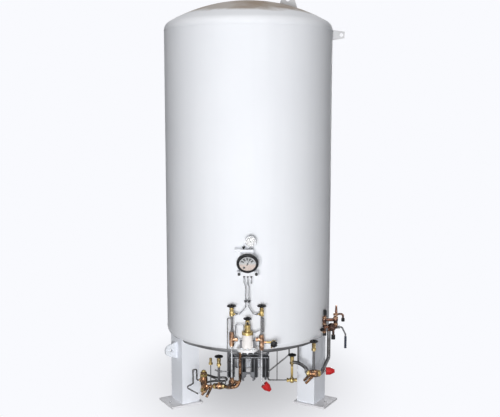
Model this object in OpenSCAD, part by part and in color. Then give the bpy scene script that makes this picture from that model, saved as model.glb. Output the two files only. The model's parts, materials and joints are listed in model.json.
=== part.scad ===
// Upright vacuum-jacketed pressure tank on three box legs, with its front piping.
// Millimetres, +Z up, floor at zero, tank axis on Z, front towards -Y.

/* [Vessel] */
// Outside diameter of the jacket
shell_diameter = 1676; // [1500:1:1850]
// Plate thickness of the jacket and its heads
shell_wall = 8; // [5:0.5:14]
// Straight length between the seams
shell_length = 2980; // [2600:10:3400]
// Height of the lower seam above the floor
seam_height = 712; // [660:1:800]
// Outside crown radius of the top head
top_crown_radius = 1592; // [1450:1:1750]
// Outside knuckle radius of the top head
top_knuckle_radius = 94; // [70:1:130]
// Outside crown radius of the bottom head
bottom_crown_radius = 2048; // [1850:1:2300]
// Outside knuckle radius of the bottom head
bottom_knuckle_radius = 87; // [70:1:120]

/* [Legs] */
// How far each leg's outer face lies inside the jacket
leg_inset = 12; // [8:1:60]
// Radial depth of a leg
leg_depth = 188; // [140:1:220]
// Width of a leg across its outer face
leg_width = 252; // [180:1:270]
// Wall of the leg's box
leg_wall = 10; // [6:0.5:16]
// Length of a base plate
plate_length = 340; // [300:1:380]
// Width of a base plate
plate_width = 310; // [280:1:360]
// Thickness of a base plate
plate_thickness = 20; // [12:1:32]
// How far a base plate reaches past its leg's outer face
plate_overhang = 124; // [110:1:150]
// Diameter of an anchor hole
anchor_hole = 32; // [22:1:40]
// From the plate's outer edge to the anchor hole's centre
anchor_edge = 55; // [40:1:70]

/* [Lifting lugs] */
// Thickness of each lug
lug_thickness = 24; // [16:1:32]
// Sideways place of the crown lug
crown_lug_x = 385; // [330:1:440]
// How far the crown lug stands in front of the axis
crown_lug_front = 150; // [100:1:200]
// Half the crown lug's width at its foot
crown_lug_half_foot = 90; // [75:1:110]
// Radius of the crown lug's rounded end
crown_lug_radius = 65; // [50:1:72]
// Height of the crown lug's eye above the dome
crown_lug_up = 58; // [48:1:80]
// Diameter of the crown lug's eye
crown_lug_eye = 46; // [34:1:56]
// Length of the side lug
side_lug_length = 116; // [95:1:140]
// Height of the side lug at the jacket
side_lug_foot = 96; // [80:1:110]
// Height of the side lug at its tip
side_lug_tip = 60; // [50:1:72]
// Diameter of the side lug's eye
side_lug_eye = 36; // [26:1:42]
// Height of the tailing lug at the leg
tailing_foot = 168; // [140:1:190]
// How far the tailing lug's eye lies from the leg
tailing_reach = 62; // [56:1:90]
// Radius of the tailing lug's rounded end
tailing_radius = 62; // [50:1:70]
// Diameter of the tailing lug's eye
tailing_eye = 30; // [22:1:40]

/* [Gauges] */
// Diameter of the level gauge's bezel
level_bezel = 203; // [180:1:230]
// Depth of the level gauge's case
level_depth = 48; // [45:1:80]
// Downward tilt of the level gauge
level_tilt = 23; // [0:1:30]
// Height of the level gauge above the lower seam
level_rise = 808; // [760:1:900]
// Diameter of the pressure gauge
pressure_diameter = 102; // [80:1:120]
// Depth of the pressure gauge's case
pressure_depth = 38; // [30:1:50]

/* [Front piping] */
// From the jacket's face to the risers' axes
riser_standoff = 62; // [54:1:80]
// Sideways place of the left riser
left_x = -155; // [-175:1:-140]
// Sideways place of the right riser
right_x = 124; // [112:1:140]
// Diameter of a riser
riser_diameter = 20; // [16:1:24]
// Diameter of the fine tubes
tube_diameter = 9; // [6:0.5:11]
// Diameter of the middling pipes
pipe_diameter = 14; // [10:0.5:18]
// Height of the instrument valves' tops above the seam
instrument_rise = 385; // [360:1:420]
// Height of the centre valve's top above the seam
centre_rise = 272; // [262:1:290]
// Diameter of the centre valve's white body
centre_diameter = 98; // [84:1:106]
// Diameter of the centre valve's foot flange
centre_flange = 196; // [180:1:204]

/* [Valves] */
// Diameter of the valve stems
stem_diameter = 12; // [8:0.5:14]
// Radial play of a stem in its gland
stem_play = 0.05; // [0.02:0.01:0.1]
// Gap under each handwheel's hub
wheel_gap = 5; // [5:0.5:8]
// Diameter of the instrument valves' handwheels
instrument_wheel = 88; // [76:1:100]
// Diameter of the centre valve's handwheel
centre_wheel = 78; // [66:1:90]
// Diameter of the side valve's handwheel
side_wheel = 66; // [56:1:76]
// Diameter of the lower valves' handwheels
lower_wheel = 84; // [72:1:94]

/* [Vaporizer] */
// Length of the finned tubes
fin_length = 190; // [160:1:205]
// Diameter over the fins
fin_diameter = 78; // [66:1:84]
// Thickness of a fin
fin_thickness = 3; // [2:0.25:5]
// Fins round each tube
fin_count = 8; // [6:1:10]
// Diameter of the bare tube
fin_core = 24; // [20:1:30]
// Gap between the two middle tubes' axes
fin_middle = 120; // [110:1:130]
// Pitch from a middle tube to an outer one
fin_pitch = 112; // [100:1:118]
// Pitch between the front and back rows
fin_row_pitch = 92; // [86:1:110]

/* [Relief manifold] */
// From the jacket to the manifold's axis
relief_standoff = 92; // [80:1:110]
// Direction of the manifold round the tank
relief_angle = -26.8; // [-32:0.1:-22]
// Diameter of the diverter's body
diverter_diameter = 84; // [70:1:96]
// Height of the diverter above the lower seam
diverter_rise = 67; // [50:1:90]
// Length of the diverter's lever
lever_length = 212; // [180:1:240]

/* [Hidden] */
$fn = 48;
vessel_facets = 360;

// Common clearances
overrun = 5;
seat = 0.3;
crown_sink = 0.2;
elbow_lip = 0.6;
elbow_overlap = 2;

// Vessel
shell_radius = shell_diameter / 2;
upper_seam = seam_height + shell_length;
leg_radius = shell_radius - leg_inset;
plate_outer = leg_radius + plate_overhang;
anchor_radius = plate_outer - anchor_edge;
riser_y = -(shell_radius + riser_standoff);

function unit(v) = v / norm(v);
function polar(r, a) = [r * cos(a), r * sin(a), 0];
function dish_centre(r, crown, knuckle) = sqrt(pow(crown - knuckle, 2) - pow(r - knuckle, 2));
function dish_reach(r, crown, knuckle) = (r - knuckle) * crown / (crown - knuckle);
// How far the top head's crown stands above the upper seam, at a distance from the axis
function dome_rise(r) =
    sqrt(pow(top_crown_radius, 2) - pow(r, 2))
    - dish_centre(shell_radius, top_crown_radius, top_knuckle_radius);
// How far the bottom head's crown hangs below the lower seam, at a distance from the axis
function head_drop(r) =
    sqrt(pow(bottom_crown_radius, 2) - pow(r, 2))
    - dish_centre(shell_radius, bottom_crown_radius, bottom_knuckle_radius);

// A cylinder between two points
module rod(a, b, d) {
    v = b - a;
    length = norm(v);
    translate(a)
        rotate([0, acos(v[2] / length), atan2(v[1], v[0])])
            cylinder(d = d, h = length);
}

// A pipe bend at a corner between two directions
module elbow(corner, a, b, turn, d, bend) {
    inward = unit(b - a * (a * b));
    x = -inward;
    z = cross(x, a);
    o = corner - a * bend * tan(turn / 2) + inward * bend;
    multmatrix([
        [x[0], a[0], z[0], o[0]],
        [x[1], a[1], z[1], o[1]],
        [x[2], a[2], z[2], o[2]],
        [0, 0, 0, 1]
    ])
        rotate_extrude(angle = turn)
            translate([bend, 0])
                circle(d = d);
}

// A pipe through a list of corners, with bends of one radius
module tube(points, d, bend) {
    n = len(points);
    dirs = [for (i = [0:n - 2]) unit(points[i + 1] - points[i])];
    turns = [for (i = [1:1:n - 2]) acos(min(1, max(-1, dirs[i - 1] * dirs[i])))];
    cuts = concat([0], [for (t = turns) bend * tan(t / 2) - elbow_overlap], [0]);
    for (i = [0:n - 2])
        rod(points[i] + dirs[i] * cuts[i], points[i + 1] - dirs[i] * cuts[i + 1], d);
    for (i = [1:1:n - 2])
        elbow(points[i], dirs[i - 1], dirs[i], turns[i - 1], d + 2 * elbow_lip, bend);
}

// Half outline of a dished head, its seam on the X axis
module dish(r, crown, knuckle) {
    centre = dish_centre(r, crown, knuckle);
    intersection() {
        translate([0, -centre - crown_sink])
            circle(r = crown, $fn = vessel_facets);
        square([dish_reach(r, crown, knuckle), crown]);
    }
    intersection() {
        translate([r - knuckle, 0])
            circle(r = knuckle);
        square([r, knuckle + overrun]);
    }
}

// A dished head of even thickness, crown upwards
module head(crown, knuckle) {
    rotate_extrude($fn = vessel_facets)
        difference() {
            dish(shell_radius, crown, knuckle);
            dish(shell_radius - shell_wall, crown - shell_wall, knuckle - shell_wall);
            translate([0, -overrun])
                square([shell_radius - shell_wall, 2 * overrun]);
        }
}

// The room that the vessel takes, with the seat all round
module vessel_room() {
    r = shell_radius + seat;
    translate([0, 0, seam_height])
        cylinder(r = r, h = shell_length, $fn = vessel_facets);
    translate([0, 0, upper_seam])
        rotate_extrude($fn = vessel_facets)
            dish(r, top_crown_radius + seat, top_knuckle_radius + seat);
    bottom_room();
}
module bottom_room() {
    r = shell_radius + seat;
    translate([0, 0, seam_height])
        mirror([0, 0, 1])
            rotate_extrude($fn = vessel_facets)
                dish(r, bottom_crown_radius + seat, bottom_knuckle_radius + seat);
    translate([0, 0, seam_height])
        cylinder(r = r, h = shell_length / 2, $fn = vessel_facets);
}
module outside_tank() {
    difference() {
        union() children();
        bottom_room();
    }
}

module jacket_shell() {
    color("white")
        translate([0, 0, seam_height])
            difference() {
                cylinder(r = shell_radius, h = shell_length, $fn = vessel_facets);
                translate([0, 0, -overrun])
                    cylinder(
                        r = shell_radius - shell_wall, h = shell_length + 2 * overrun,
                        $fn = vessel_facets
                    );
            }
}
module top_head() {
    color("white")
        translate([0, 0, upper_seam])
            head(top_crown_radius, top_knuckle_radius);
}
module bottom_head() {
    color("white")
        translate([0, 0, seam_height])
            mirror([0, 0, 1])
                head(bottom_crown_radius, bottom_knuckle_radius);
}

// Legs and plates, at even thirds of a turn
leg_angles = [210, 330, 90];
leg_top = seam_height - plate_thickness;
module leg(angle) {
    color("whitesmoke")
        difference() {
            rotate([0, 0, angle])
                translate([leg_radius - leg_depth, -leg_width / 2, plate_thickness])
                    difference() {
                        cube([leg_depth, leg_width, leg_top]);
                        translate([leg_wall, leg_wall, -overrun])
                            cube([
                                leg_depth - 2 * leg_wall, leg_width - 2 * leg_wall,
                                leg_top + 2 * overrun
                            ]);
                    }
            bottom_room();
        }
}
module base_plate(angle) {
    color("gainsboro")
        rotate([0, 0, angle])
            difference() {
                translate([plate_outer - plate_length, -plate_width / 2, 0])
                    cube([plate_length, plate_width, plate_thickness]);
                translate([anchor_radius, 0, -overrun])
                    cylinder(d = anchor_hole, h = plate_thickness + 2 * overrun);
            }
}
module leg_front_left() { leg(leg_angles[0]); }
module leg_front_right() { leg(leg_angles[1]); }
module leg_rear() { leg(leg_angles[2]); }
module base_plate_front_left() { base_plate(leg_angles[0]); }
module base_plate_front_right() { base_plate(leg_angles[1]); }
module base_plate_rear() { base_plate(leg_angles[2]); }

// A lug outline: a round end on a tapered foot that reaches down past the seat
module lug_outline(half_foot, reach, radius, eye, foot_spare) {
    difference() {
        union() {
            translate([0, reach])
                circle(r = radius);
            polygon([
                [-half_foot, -foot_spare], [half_foot, -foot_spare], [half_foot, 0],
                [radius - crown_sink, reach], [-radius + crown_sink, reach], [-half_foot, 0]
            ]);
        }
        translate([0, reach])
            circle(d = eye);
    }
}
crown_lug_foot = 78;
crown_lug_spare = 60;
side_lug_angle = -8;
side_lug_drop = 46;
side_lug_back = 30;
tailing_drop = 167;
module crown_lug() {
    eye_rise = dome_rise(norm([crown_lug_x, crown_lug_front])) + crown_lug_up;
    foot_z = upper_seam + eye_rise - crown_lug_foot;
    color("white")
        difference() {
            translate([crown_lug_x, -crown_lug_front + lug_thickness / 2, foot_z])
                rotate([90, 0, 0])
                    linear_extrude(lug_thickness)
                        lug_outline(
                            crown_lug_half_foot, crown_lug_foot,
                            crown_lug_radius, crown_lug_eye, crown_lug_spare
                        );
            vessel_room();
        }
}
module side_lug() {
    half_tip = side_lug_tip / 2;
    color("white")
        difference() {
            rotate([0, 0, side_lug_angle])
                translate([shell_radius, lug_thickness / 2, upper_seam - side_lug_drop])
                    rotate([90, 0, 0])
                        linear_extrude(lug_thickness)
                            difference() {
                                polygon([
                                    [-side_lug_back, -side_lug_foot / 2], [0, -side_lug_foot / 2],
                                    [side_lug_length, -half_tip], [side_lug_length, half_tip],
                                    [0, side_lug_foot / 2], [-side_lug_back, side_lug_foot / 2]
                                ]);
                                translate([side_lug_length - half_tip, 0])
                                    circle(d = side_lug_eye);
                            }
            vessel_room();
        }
}
module tailing_lug() {
    color("white")
        rotate([0, 0, leg_angles[0]])
            translate([leg_radius, 0, seam_height - tailing_drop])
                rotate([90, 0, 0])
                    translate([0, 0, -lug_thickness / 2])
                        linear_extrude(lug_thickness)
                            rotate(-90)
                                lug_outline(
                                    tailing_foot / 2, tailing_reach,
                                    tailing_radius, tailing_eye, 0
                                );
}

// A handwheel with a round, scalloped rim on a thin web, upright with its hub's foot at zero
hub_diameter = 26;
hub_height = 22;
rim_diameter = 13;
web_thickness = 7;
stem_grip = 20;
bore_spare = 3;
wheel_scallops = 6;
scallop_share = 0.3;
scallop_place_share = 0.57;
window_share = 0.14;
window_place_share = 0.26;
module handwheel(d, stem_length) {
    rim_radius = (d - rim_diameter) / 2;
    pitch = 360 / wheel_scallops;
    color([0.08, 0.08, 0.09]) {
        difference() {
            rotate_extrude() {
                square([hub_diameter / 2, hub_height]);
                translate([0, (hub_height - web_thickness) / 2])
                    square([rim_radius, web_thickness]);
                translate([rim_radius, hub_height / 2])
                    circle(d = rim_diameter);
            }
            for (i = [0:wheel_scallops - 1]) {
                rotate([0, 0, i * pitch])
                    translate([d * scallop_place_share, 0, -overrun])
                        cylinder(d = d * scallop_share, h = hub_height + 2 * overrun);
                rotate([0, 0, (i + 0.5) * pitch])
                    translate([d * window_place_share, 0, -overrun])
                        cylinder(d = d * window_share, h = hub_height + 2 * overrun);
            }
        }
        translate([0, 0, -stem_length])
            cylinder(d = stem_diameter, h = stem_length + hub_height / 2);
    }
}

// A bonnet that flares from its nut up to the gland, bored for the stem
gland_diameter = 30;
gland_height = 7;
bonnet_foot_diameter = 28;
bonnet_top_diameter = 42;
nut_across = 44;
bonnet_nut_share = 0.28;
module bonnet(height) {
    difference() {
        union() {
            cylinder(d = nut_across, h = height * bonnet_nut_share, $fn = 6);
            cylinder(d1 = bonnet_foot_diameter, d2 = bonnet_top_diameter, h = height - gland_height);
            cylinder(d = gland_diameter, h = height);
        }
        translate([0, 0, height - stem_grip - bore_spare])
            cylinder(r = stem_diameter / 2 + stem_play, h = stem_grip + bore_spare + overrun);
    }
}

// A globe body on its pipe line along X, ports at both ends
port_diameter = 30;
port_nut = 42;
port_nut_length = 16;
module globe_body(d, length) {
    sphere(d = d);
    rotate([0, 90, 0])
        cylinder(d = port_diameter, h = length, center = true);
    for (side = [-1, 1])
        translate([side * (length - port_nut_length) / 2, 0, 0])
            rotate([0, 90, 0])
                cylinder(d = port_nut, h = port_nut_length, center = true, $fn = 6);
}
// A globe valve with a long neck under its bonnet
neck_diameter = 24;
module long_valve(d, length, top, bonnet_height) {
    globe_body(d, length);
    cylinder(d = neck_diameter, h = top - bonnet_height + overrun);
    translate([0, 0, top - bonnet_height])
        bonnet(bonnet_height);
}

// Instrument valves
instrument_top = seam_height + instrument_rise;
instrument_bonnet = 46;
instrument_body_d = 42;
instrument_body_h = 32;
instrument_port = 34;
instrument_port_d = 18;
instrument_foot = instrument_top - instrument_bonnet - instrument_body_h;
instrument_port_z = instrument_foot + instrument_body_h / 2;
module instrument_valve(side) {
    color([0.72, 0.53, 0.2]) {
        translate([0, 0, instrument_foot + instrument_body_h])
            bonnet(instrument_bonnet);
        translate([0, 0, instrument_foot])
            cylinder(d = instrument_body_d, h = instrument_body_h);
        rod(
            [0, 0, instrument_port_z], [side * instrument_port, 0, instrument_port_z],
            instrument_port_d
        );
    }
}
module left_instrument_valve() { translate([left_x, riser_y, 0]) instrument_valve(1); }
module right_instrument_valve() { translate([right_x, riser_y, 0]) instrument_valve(-1); }
module left_handwheel() {
    translate([left_x, riser_y, instrument_top + wheel_gap])
        handwheel(instrument_wheel, stem_grip + wheel_gap);
}
module right_handwheel() {
    translate([right_x, riser_y, instrument_top + wheel_gap])
        handwheel(instrument_wheel, stem_grip + wheel_gap);
}

// Gauges on their bracket
level_z = seam_height + level_rise;
level_x = -7;
level_front = 65;
level_y = riser_y - level_front;
level_case_share = 0.92;
level_glass_share = 0.76;
bezel_depth = 22;
bezel_lip = 8;
dial_sink = 9;
post_diameter = 64;
post_length = 200;
rail_width = 56;
rail_depth = 10;
rail_standoff = 18;
rail_up = 130;
block_down = 120;
block_height = 42;
block_left = -104;
block_right = 92;
block_forward = 24;
block_front = riser_y - block_forward;
arm_left = -128;
arm_right = 46;
arm_height = 26;
rail_front = -(shell_radius + rail_standoff + rail_depth);
bleed_diameter = 60;
bleed_length = 46;
bleed_x = -100;
bleed_rise = 90;
pressure_x = 20;
pressure_front = 12;
pressure_y = riser_y - pressure_front;
pressure_rise = 204;
pressure_stem = 18;
pressure_bezel_share = 0.86;
module level_place() {
    translate([level_x, level_y, level_z])
        rotate([90 + level_tilt, 0, 0])
            children();
}
module level_gauge() {
    radius = level_bezel / 2;
    glass = radius * level_glass_share;
    color([0.06, 0.06, 0.07])
        level_place()
            rotate_extrude() {
                translate([0, -level_depth])
                    square([radius * level_case_share, level_depth - dial_sink]);
                translate([glass, -bezel_depth])
                    square([radius - bezel_lip - glass, bezel_depth]);
                translate([glass, -bezel_depth])
                    square([radius - glass, bezel_depth - bezel_lip]);
                translate([radius - bezel_lip, -bezel_lip])
                    circle(r = bezel_lip);
            }
}
dial_thickness = 3;
module gauge_dials() {
    color("ivory") {
        level_place()
            translate([0, 0, -dial_sink])
                cylinder(d = level_bezel * level_glass_share - 2 * seat, h = dial_thickness);
        translate([pressure_x, pressure_y - pressure_depth / 2 + dial_sink, level_z + pressure_rise])
            rotate([90, 0, 0])
                cylinder(d = pressure_diameter * pressure_bezel_share - 2 * seat, h = dial_thickness);
    }
}
arm_top = level_z + rail_up;
module pressure_gauge() {
    z = level_z + pressure_rise;
    color("gainsboro") {
        translate([pressure_x, pressure_y, z])
            rotate([90, 0, 0])
                difference() {
                    cylinder(d = pressure_diameter, h = pressure_depth, center = true);
                    translate([0, 0, pressure_depth / 2 - dial_sink])
                        cylinder(d = pressure_diameter * pressure_bezel_share, h = dial_sink + overrun);
                }
        rod(
            [pressure_x, pressure_y, arm_top],
            [pressure_x, pressure_y, z - pressure_diameter / 2 + overrun], pressure_stem
        );
    }
}
// Post, rail, saddle block and arm, with the gauge's room left free
module gauge_bracket() {
    arm_front = pressure_y - arm_height;
    color("white")
        outside_tank()
            difference() {
                union() {
                    level_place()
                        translate([0, 0, -level_depth - post_length])
                            cylinder(d = post_diameter, h = post_length);
                    translate([level_x - rail_width / 2, rail_front, level_z - block_down])
                        cube([rail_width, rail_depth, block_down + rail_up]);
                    translate([block_left, block_front, level_z - block_down])
                        cube([
                            block_right - block_left, rail_front - block_front + overrun, block_height
                        ]);
                    translate([arm_left, arm_front, arm_top - arm_height])
                        cube([arm_right - arm_left, rail_front - arm_front + overrun, arm_height]);
                    translate([bleed_x, pressure_y, level_z + bleed_rise])
                        rotate([90, 0, 0])
                            cylinder(d = bleed_diameter, h = bleed_length);
                }
                level_place()
                    translate([0, 0, -level_depth])
                        cylinder(d = level_bezel + 2 * seat, h = level_depth + overrun);
            }
}
knob_diameter = 26;
knob_length = 30;
knob_inset = 18;
funnel_x = -44;
funnel_foot = 14;
funnel_top = 32;
funnel_height = 24;
module gauge_knobs() {
    color([0.07, 0.07, 0.08]) {
        for (x = [block_left + knob_inset, block_right - knob_inset])
            translate([x, block_front, level_z - block_down + block_height / 2])
                rotate([90, 0, 0])
                    cylinder(d = knob_diameter, h = knob_length);
        translate([funnel_x, pressure_y, arm_top])
            cylinder(d1 = funnel_foot, d2 = funnel_top, h = funnel_height);
    }
}
tube_bend = 14;
tube_left_x = -40;
tube_middle_x = -5;
tube_right_x = 28;
tube_pair_left = -25;
tube_pair_right = 6;
tube_cross_down = 75;
tube_fan_rise = 66;
tube_fan_in = 40;
union_across = 24;
union_height = 20;
union_rise = 46;
block_foot = level_z - block_down;
module gauge_tubes() {
    fan = instrument_port_z + tube_fan_rise;
    cross_z = block_foot - tube_cross_down;
    color("silver")
        outside_tank() {
            for (x = [tube_pair_left, tube_pair_right])
                translate([x, riser_y, fan + union_rise])
                    cylinder(d = union_across, h = union_height, $fn = 6);
            tube([
                [tube_left_x, riser_y, block_foot], [tube_left_x, riser_y, cross_z + tube_bend],
                [tube_pair_left, riser_y, cross_z - 2 * tube_bend], [tube_pair_left, riser_y, fan],
                [left_x + instrument_port + tube_fan_in, riser_y, instrument_port_z],
                [left_x + instrument_port, riser_y, instrument_port_z]
            ], tube_diameter, tube_bend);
            tube([
                [tube_middle_x, riser_y, block_foot], [tube_middle_x, riser_y, cross_z],
                [tube_pair_right, riser_y, cross_z - 2 * tube_bend], [tube_pair_right, riser_y, fan],
                [right_x - instrument_port - tube_fan_in, riser_y, instrument_port_z],
                [right_x - instrument_port, riser_y, instrument_port_z]
            ], tube_diameter, tube_bend);
            tube([
                [tube_right_x, riser_y, block_foot], [tube_right_x, riser_y, cross_z],
                [tube_right_x, -shell_radius + shell_wall, cross_z]
            ], tube_diameter, tube_bend);
        }
}

// Risers, manifolds and the centre valve
manifold_diameter = 46;
manifold_nut = 40;
manifold_nut_height = 18;
left_manifold_rise = 156;
left_manifold_height = 141;
left_manifold_top = seam_height + left_manifold_rise;
left_manifold_foot = left_manifold_top - left_manifold_height;
right_manifold_rise = 128;
right_manifold_height = 148;
right_manifold_top = seam_height + right_manifold_rise;
right_manifold_foot = right_manifold_top - right_manifold_height;
branch_rise = 80;
branch_z = seam_height + branch_rise;
branch_reach = 55;
branch_diameter = 36;
back_stub_rise = 60;
back_stub_z = seam_height + back_stub_rise;
back_stub_diameter = 26;
module manifold(x, top, foot, side) {
    branch_nut = side * (branch_reach - manifold_nut_height / 2);
    color([0.66, 0.4, 0.22])
        outside_tank()
            translate([x, riser_y, 0]) {
                translate([0, 0, foot])
                    cylinder(d = manifold_nut, h = manifold_nut_height, $fn = 6);
                translate([0, 0, top - manifold_nut_height])
                    cylinder(d = manifold_nut, h = manifold_nut_height, $fn = 6);
                translate([0, 0, foot + manifold_nut_height])
                    cylinder(d = manifold_diameter, h = top - foot - 2 * manifold_nut_height);
                rod([0, 0, branch_z], [side * branch_reach, 0, branch_z], branch_diameter);
                translate([branch_nut, 0, branch_z])
                    rotate([0, 90, 0])
                        cylinder(d = manifold_nut, h = manifold_nut_height, center = true, $fn = 6);
                rod(
                    [0, 0, back_stub_z], [0, riser_standoff + shell_wall, back_stub_z],
                    back_stub_diameter
                );
            }
}
module left_manifold() { manifold(left_x, left_manifold_top, left_manifold_foot, 1); }
side_port = 45;
side_rise = 53;
side_z = seam_height + side_rise;
side_port_diameter = 22;
module right_manifold() {
    manifold(right_x, right_manifold_top, right_manifold_foot, -1);
    color([0.66, 0.4, 0.22])
        rod([right_x, riser_y, side_z], [right_x + side_port, riser_y, side_z], side_port_diameter);
}
drop_out = 40;
drop_x = left_x - drop_out;
drop_below = 22;
drop_top = instrument_foot - drop_below;
drop_length = 152;
drop_foot = seam_height - drop_length;
drop_back = 58;
drop_in = 34;
riser_bend = 24;
module left_riser() {
    end_x = drop_x + drop_in;
    end_y = -shell_radius + drop_back;
    color([0.3, 0.3, 0.31])
        outside_tank() {
            rod(
                [left_x, riser_y, left_manifold_top], [left_x, riser_y, instrument_foot],
                riser_diameter
            );
            tube([
                [left_x, riser_y, drop_top], [drop_x, riser_y, drop_top],
                [drop_x, riser_y, drop_foot], [end_x, end_y, drop_foot], [end_x, end_y, seam_height]
            ], tube_diameter, tube_bend);
        }
}
side_tube_gap = 20;
module right_riser() {
    x = right_x + side_tube_gap;
    color([0.3, 0.3, 0.31]) {
        rod(
            [right_x, riser_y, right_manifold_top], [right_x, riser_y, instrument_foot],
            riser_diameter
        );
        tube([
            [right_x, riser_y, drop_top], [x, riser_y, drop_top],
            [x, riser_y, right_manifold_top + riser_bend],
            [right_x, riser_y, right_manifold_top + riser_bend]
        ], tube_diameter, tube_diameter);
    }
}
centre_x = -8;
centre_sink = 6;
centre_y = -(shell_radius + centre_flange / 2 - centre_sink);
centre_drop = 10;
centre_foot = seam_height - centre_drop;
centre_flange_h = 23;
centre_body_rise = 138;
centre_body_top = seam_height + centre_body_rise;
clamp_width = 26;
clamp_depth = 40;
clamp_height = 64;
clamp_place = 58;
module centre_valve_body() {
    color("white")
        outside_tank()
            translate([centre_x, centre_y, centre_foot]) {
                cylinder(d = centre_flange, h = centre_flange_h);
                cylinder(d = centre_diameter, h = centre_body_top - centre_foot);
                for (side = [-1, 1])
                    translate([side * clamp_place - clamp_width / 2, -clamp_depth / 2, 0])
                        cube([clamp_width, clamp_depth, centre_flange_h + clamp_height]);
            }
}
centre_top = seam_height + centre_rise;
cover_diameter = 104;
cover_height = 26;
cover_neck = 56;
yoke_diameter = 36;
yoke_bridge = 12;
yoke_window = 30;
yoke_slot = 18;
module centre_valve_bonnet() {
    neck_top = centre_top - yoke_bridge - yoke_window;
    color([0.72, 0.53, 0.2])
        translate([centre_x, centre_y, 0])
            difference() {
                union() {
                    translate([0, 0, centre_body_top])
                        cylinder(d = cover_diameter, h = cover_height);
                    translate([0, 0, centre_body_top])
                        cylinder(d = cover_neck, h = neck_top - centre_body_top);
                    translate([0, 0, neck_top - overrun])
                        cylinder(d = yoke_diameter, h = centre_top - neck_top + overrun);
                }
                translate([-yoke_slot / 2, -yoke_diameter, neck_top])
                    cube([yoke_slot, 2 * yoke_diameter, yoke_window]);
                translate([0, 0, neck_top - stem_grip - bore_spare])
                    cylinder(
                        r = stem_diameter / 2 + stem_play,
                        h = centre_top - neck_top + stem_grip + bore_spare + overrun
                    );
            }
}
module centre_handwheel() {
    translate([centre_x, centre_y, centre_top + wheel_gap])
        handwheel(centre_wheel, wheel_gap + yoke_bridge + yoke_window + stem_grip);
}
loop_x = -118;
loop_end = -43;
loop_rise = 224;
loop_top = seam_height + loop_rise;
bridge_rise = 50;
bridge_z = right_manifold_top + bridge_rise;
module cross_tubes() {
    cover_mid = centre_body_top + cover_height / 2;
    loop_y = centre_y + riser_bend;
    color("silver")
        difference() {
            union() {
                for (x = [left_x + branch_reach, right_x - branch_reach])
                    rod([x, riser_y, branch_z], [centre_x, riser_y, branch_z], tube_diameter);
                tube([
                    [loop_x, riser_y, branch_z], [loop_x, riser_y, loop_top],
                    [loop_end, loop_y, loop_top], [loop_end, loop_y, centre_body_top + cover_height]
                ], tube_diameter, tube_bend);
                tube([
                    [right_x, riser_y, bridge_z],
                    [centre_x + cover_diameter / 2 + riser_bend, riser_y, cover_mid],
                    [centre_x, riser_y, cover_mid]
                ], tube_diameter, tube_bend);
            }
            translate([centre_x, centre_y, centre_foot])
                cylinder(r = centre_diameter / 2 + seat, h = centre_body_top - centre_foot);
            translate([centre_x, centre_y, centre_body_top - seat])
                cylinder(r = cover_diameter / 2 + seat, h = cover_height + seat);
            translate([right_x, riser_y, bridge_z])
                cylinder(r = riser_diameter / 2 + seat, h = branch_reach, center = true);
            translate([left_x, riser_y, branch_z])
                rotate([0, 90, 0])
                    cylinder(r = manifold_nut / 2 + seat, h = branch_reach);
        }
}

// Side valve beside the right manifold, its wheel to the front
side_out = 114;
side_x = right_x + side_out;
side_body = 44;
side_bonnet = 44;
spigot_diameter = 16;
spigot_length = 54;
spigot_back = 20;
module side_valve() {
    spigot_x = side_x - spigot_back;
    color([0.72, 0.53, 0.2]) {
        translate([side_x, riser_y, side_z])
            sphere(d = side_body);
        rod([right_x + side_port, riser_y, side_z], [side_x, riser_y, side_z], side_port_diameter);
        rod([spigot_x, riser_y, side_z], [spigot_x, riser_y, side_z - spigot_length], spigot_diameter);
        translate([side_x, riser_y, side_z])
            rotate([90, 0, 0])
                bonnet(side_bonnet);
    }
}
module side_handwheel() {
    translate([side_x, riser_y - side_bonnet - wheel_gap, side_z])
        rotate([90, 0, 0])
            handwheel(side_wheel, stem_grip + wheel_gap);
}

// Vaporizer of finned tubes under the bottom head
fin_inset = 388;
fin_clear = 42;
header_diameter = 26;
header_rise = 10;
header_spare = 26;
fin_end = 26;
fin_front = -(shell_radius - fin_inset);
fin_back = fin_front + fin_row_pitch;
fin_outer = fin_middle / 2 + fin_pitch;
fin_columns = [-fin_outer, -fin_middle / 2, fin_middle / 2, fin_outer];
fin_top = seam_height - head_drop(norm([fin_middle / 2, fin_back])) - fin_clear;
fin_foot = fin_top - fin_length;
arch_width = 118;
arch_opening = 82;
arch_height = 92;
arch_foot = 28;
arch_thickness = 6;
arch_bite = 2;
module fin_star() {
    circle(d = fin_core);
    for (i = [0:fin_count - 1])
        rotate(i * 360 / fin_count)
            translate([0, -fin_thickness / 2])
                square([fin_diameter / 2, fin_thickness]);
}
// An arched plate that ties the two middle tubes in front
module fin_arch() {
    translate([0, fin_front - fin_diameter / 2 + arch_bite, fin_foot - arch_foot])
        rotate([90, 0, 0])
            linear_extrude(arch_thickness)
                difference() {
                    translate([-arch_width / 2, 0])
                        square([arch_width, arch_height]);
                    translate([-arch_opening / 2, -overrun])
                        square([arch_opening, arch_foot + overrun]);
                    translate([0, arch_foot])
                        circle(d = arch_opening);
                }
}
module vaporizer() {
    header_z = fin_top + header_rise;
    bottom = fin_foot - fin_end;
    end = fin_outer + header_spare;
    color([0.55, 0.56, 0.58])
        outside_tank() {
            for (x = fin_columns, y = [fin_front, fin_back])
                translate([x, y, fin_foot])
                    linear_extrude(fin_length)
                        fin_star();
            for (x = fin_columns)
                tube([
                    [x, fin_front, header_z], [x, fin_front, bottom],
                    [x, fin_back, bottom], [x, fin_back, header_z]
                ], fin_core - 2 * elbow_lip, fin_core);
            tube([
                [end, fin_front, header_z], [-end, fin_front, header_z], [-end, fin_front, seam_height]
            ], header_diameter, header_diameter);
            tube([
                [-end, fin_back, header_z], [end, fin_back, header_z], [end, fin_back, seam_height]
            ], header_diameter, header_diameter);
            fin_arch();
        }
}

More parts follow.
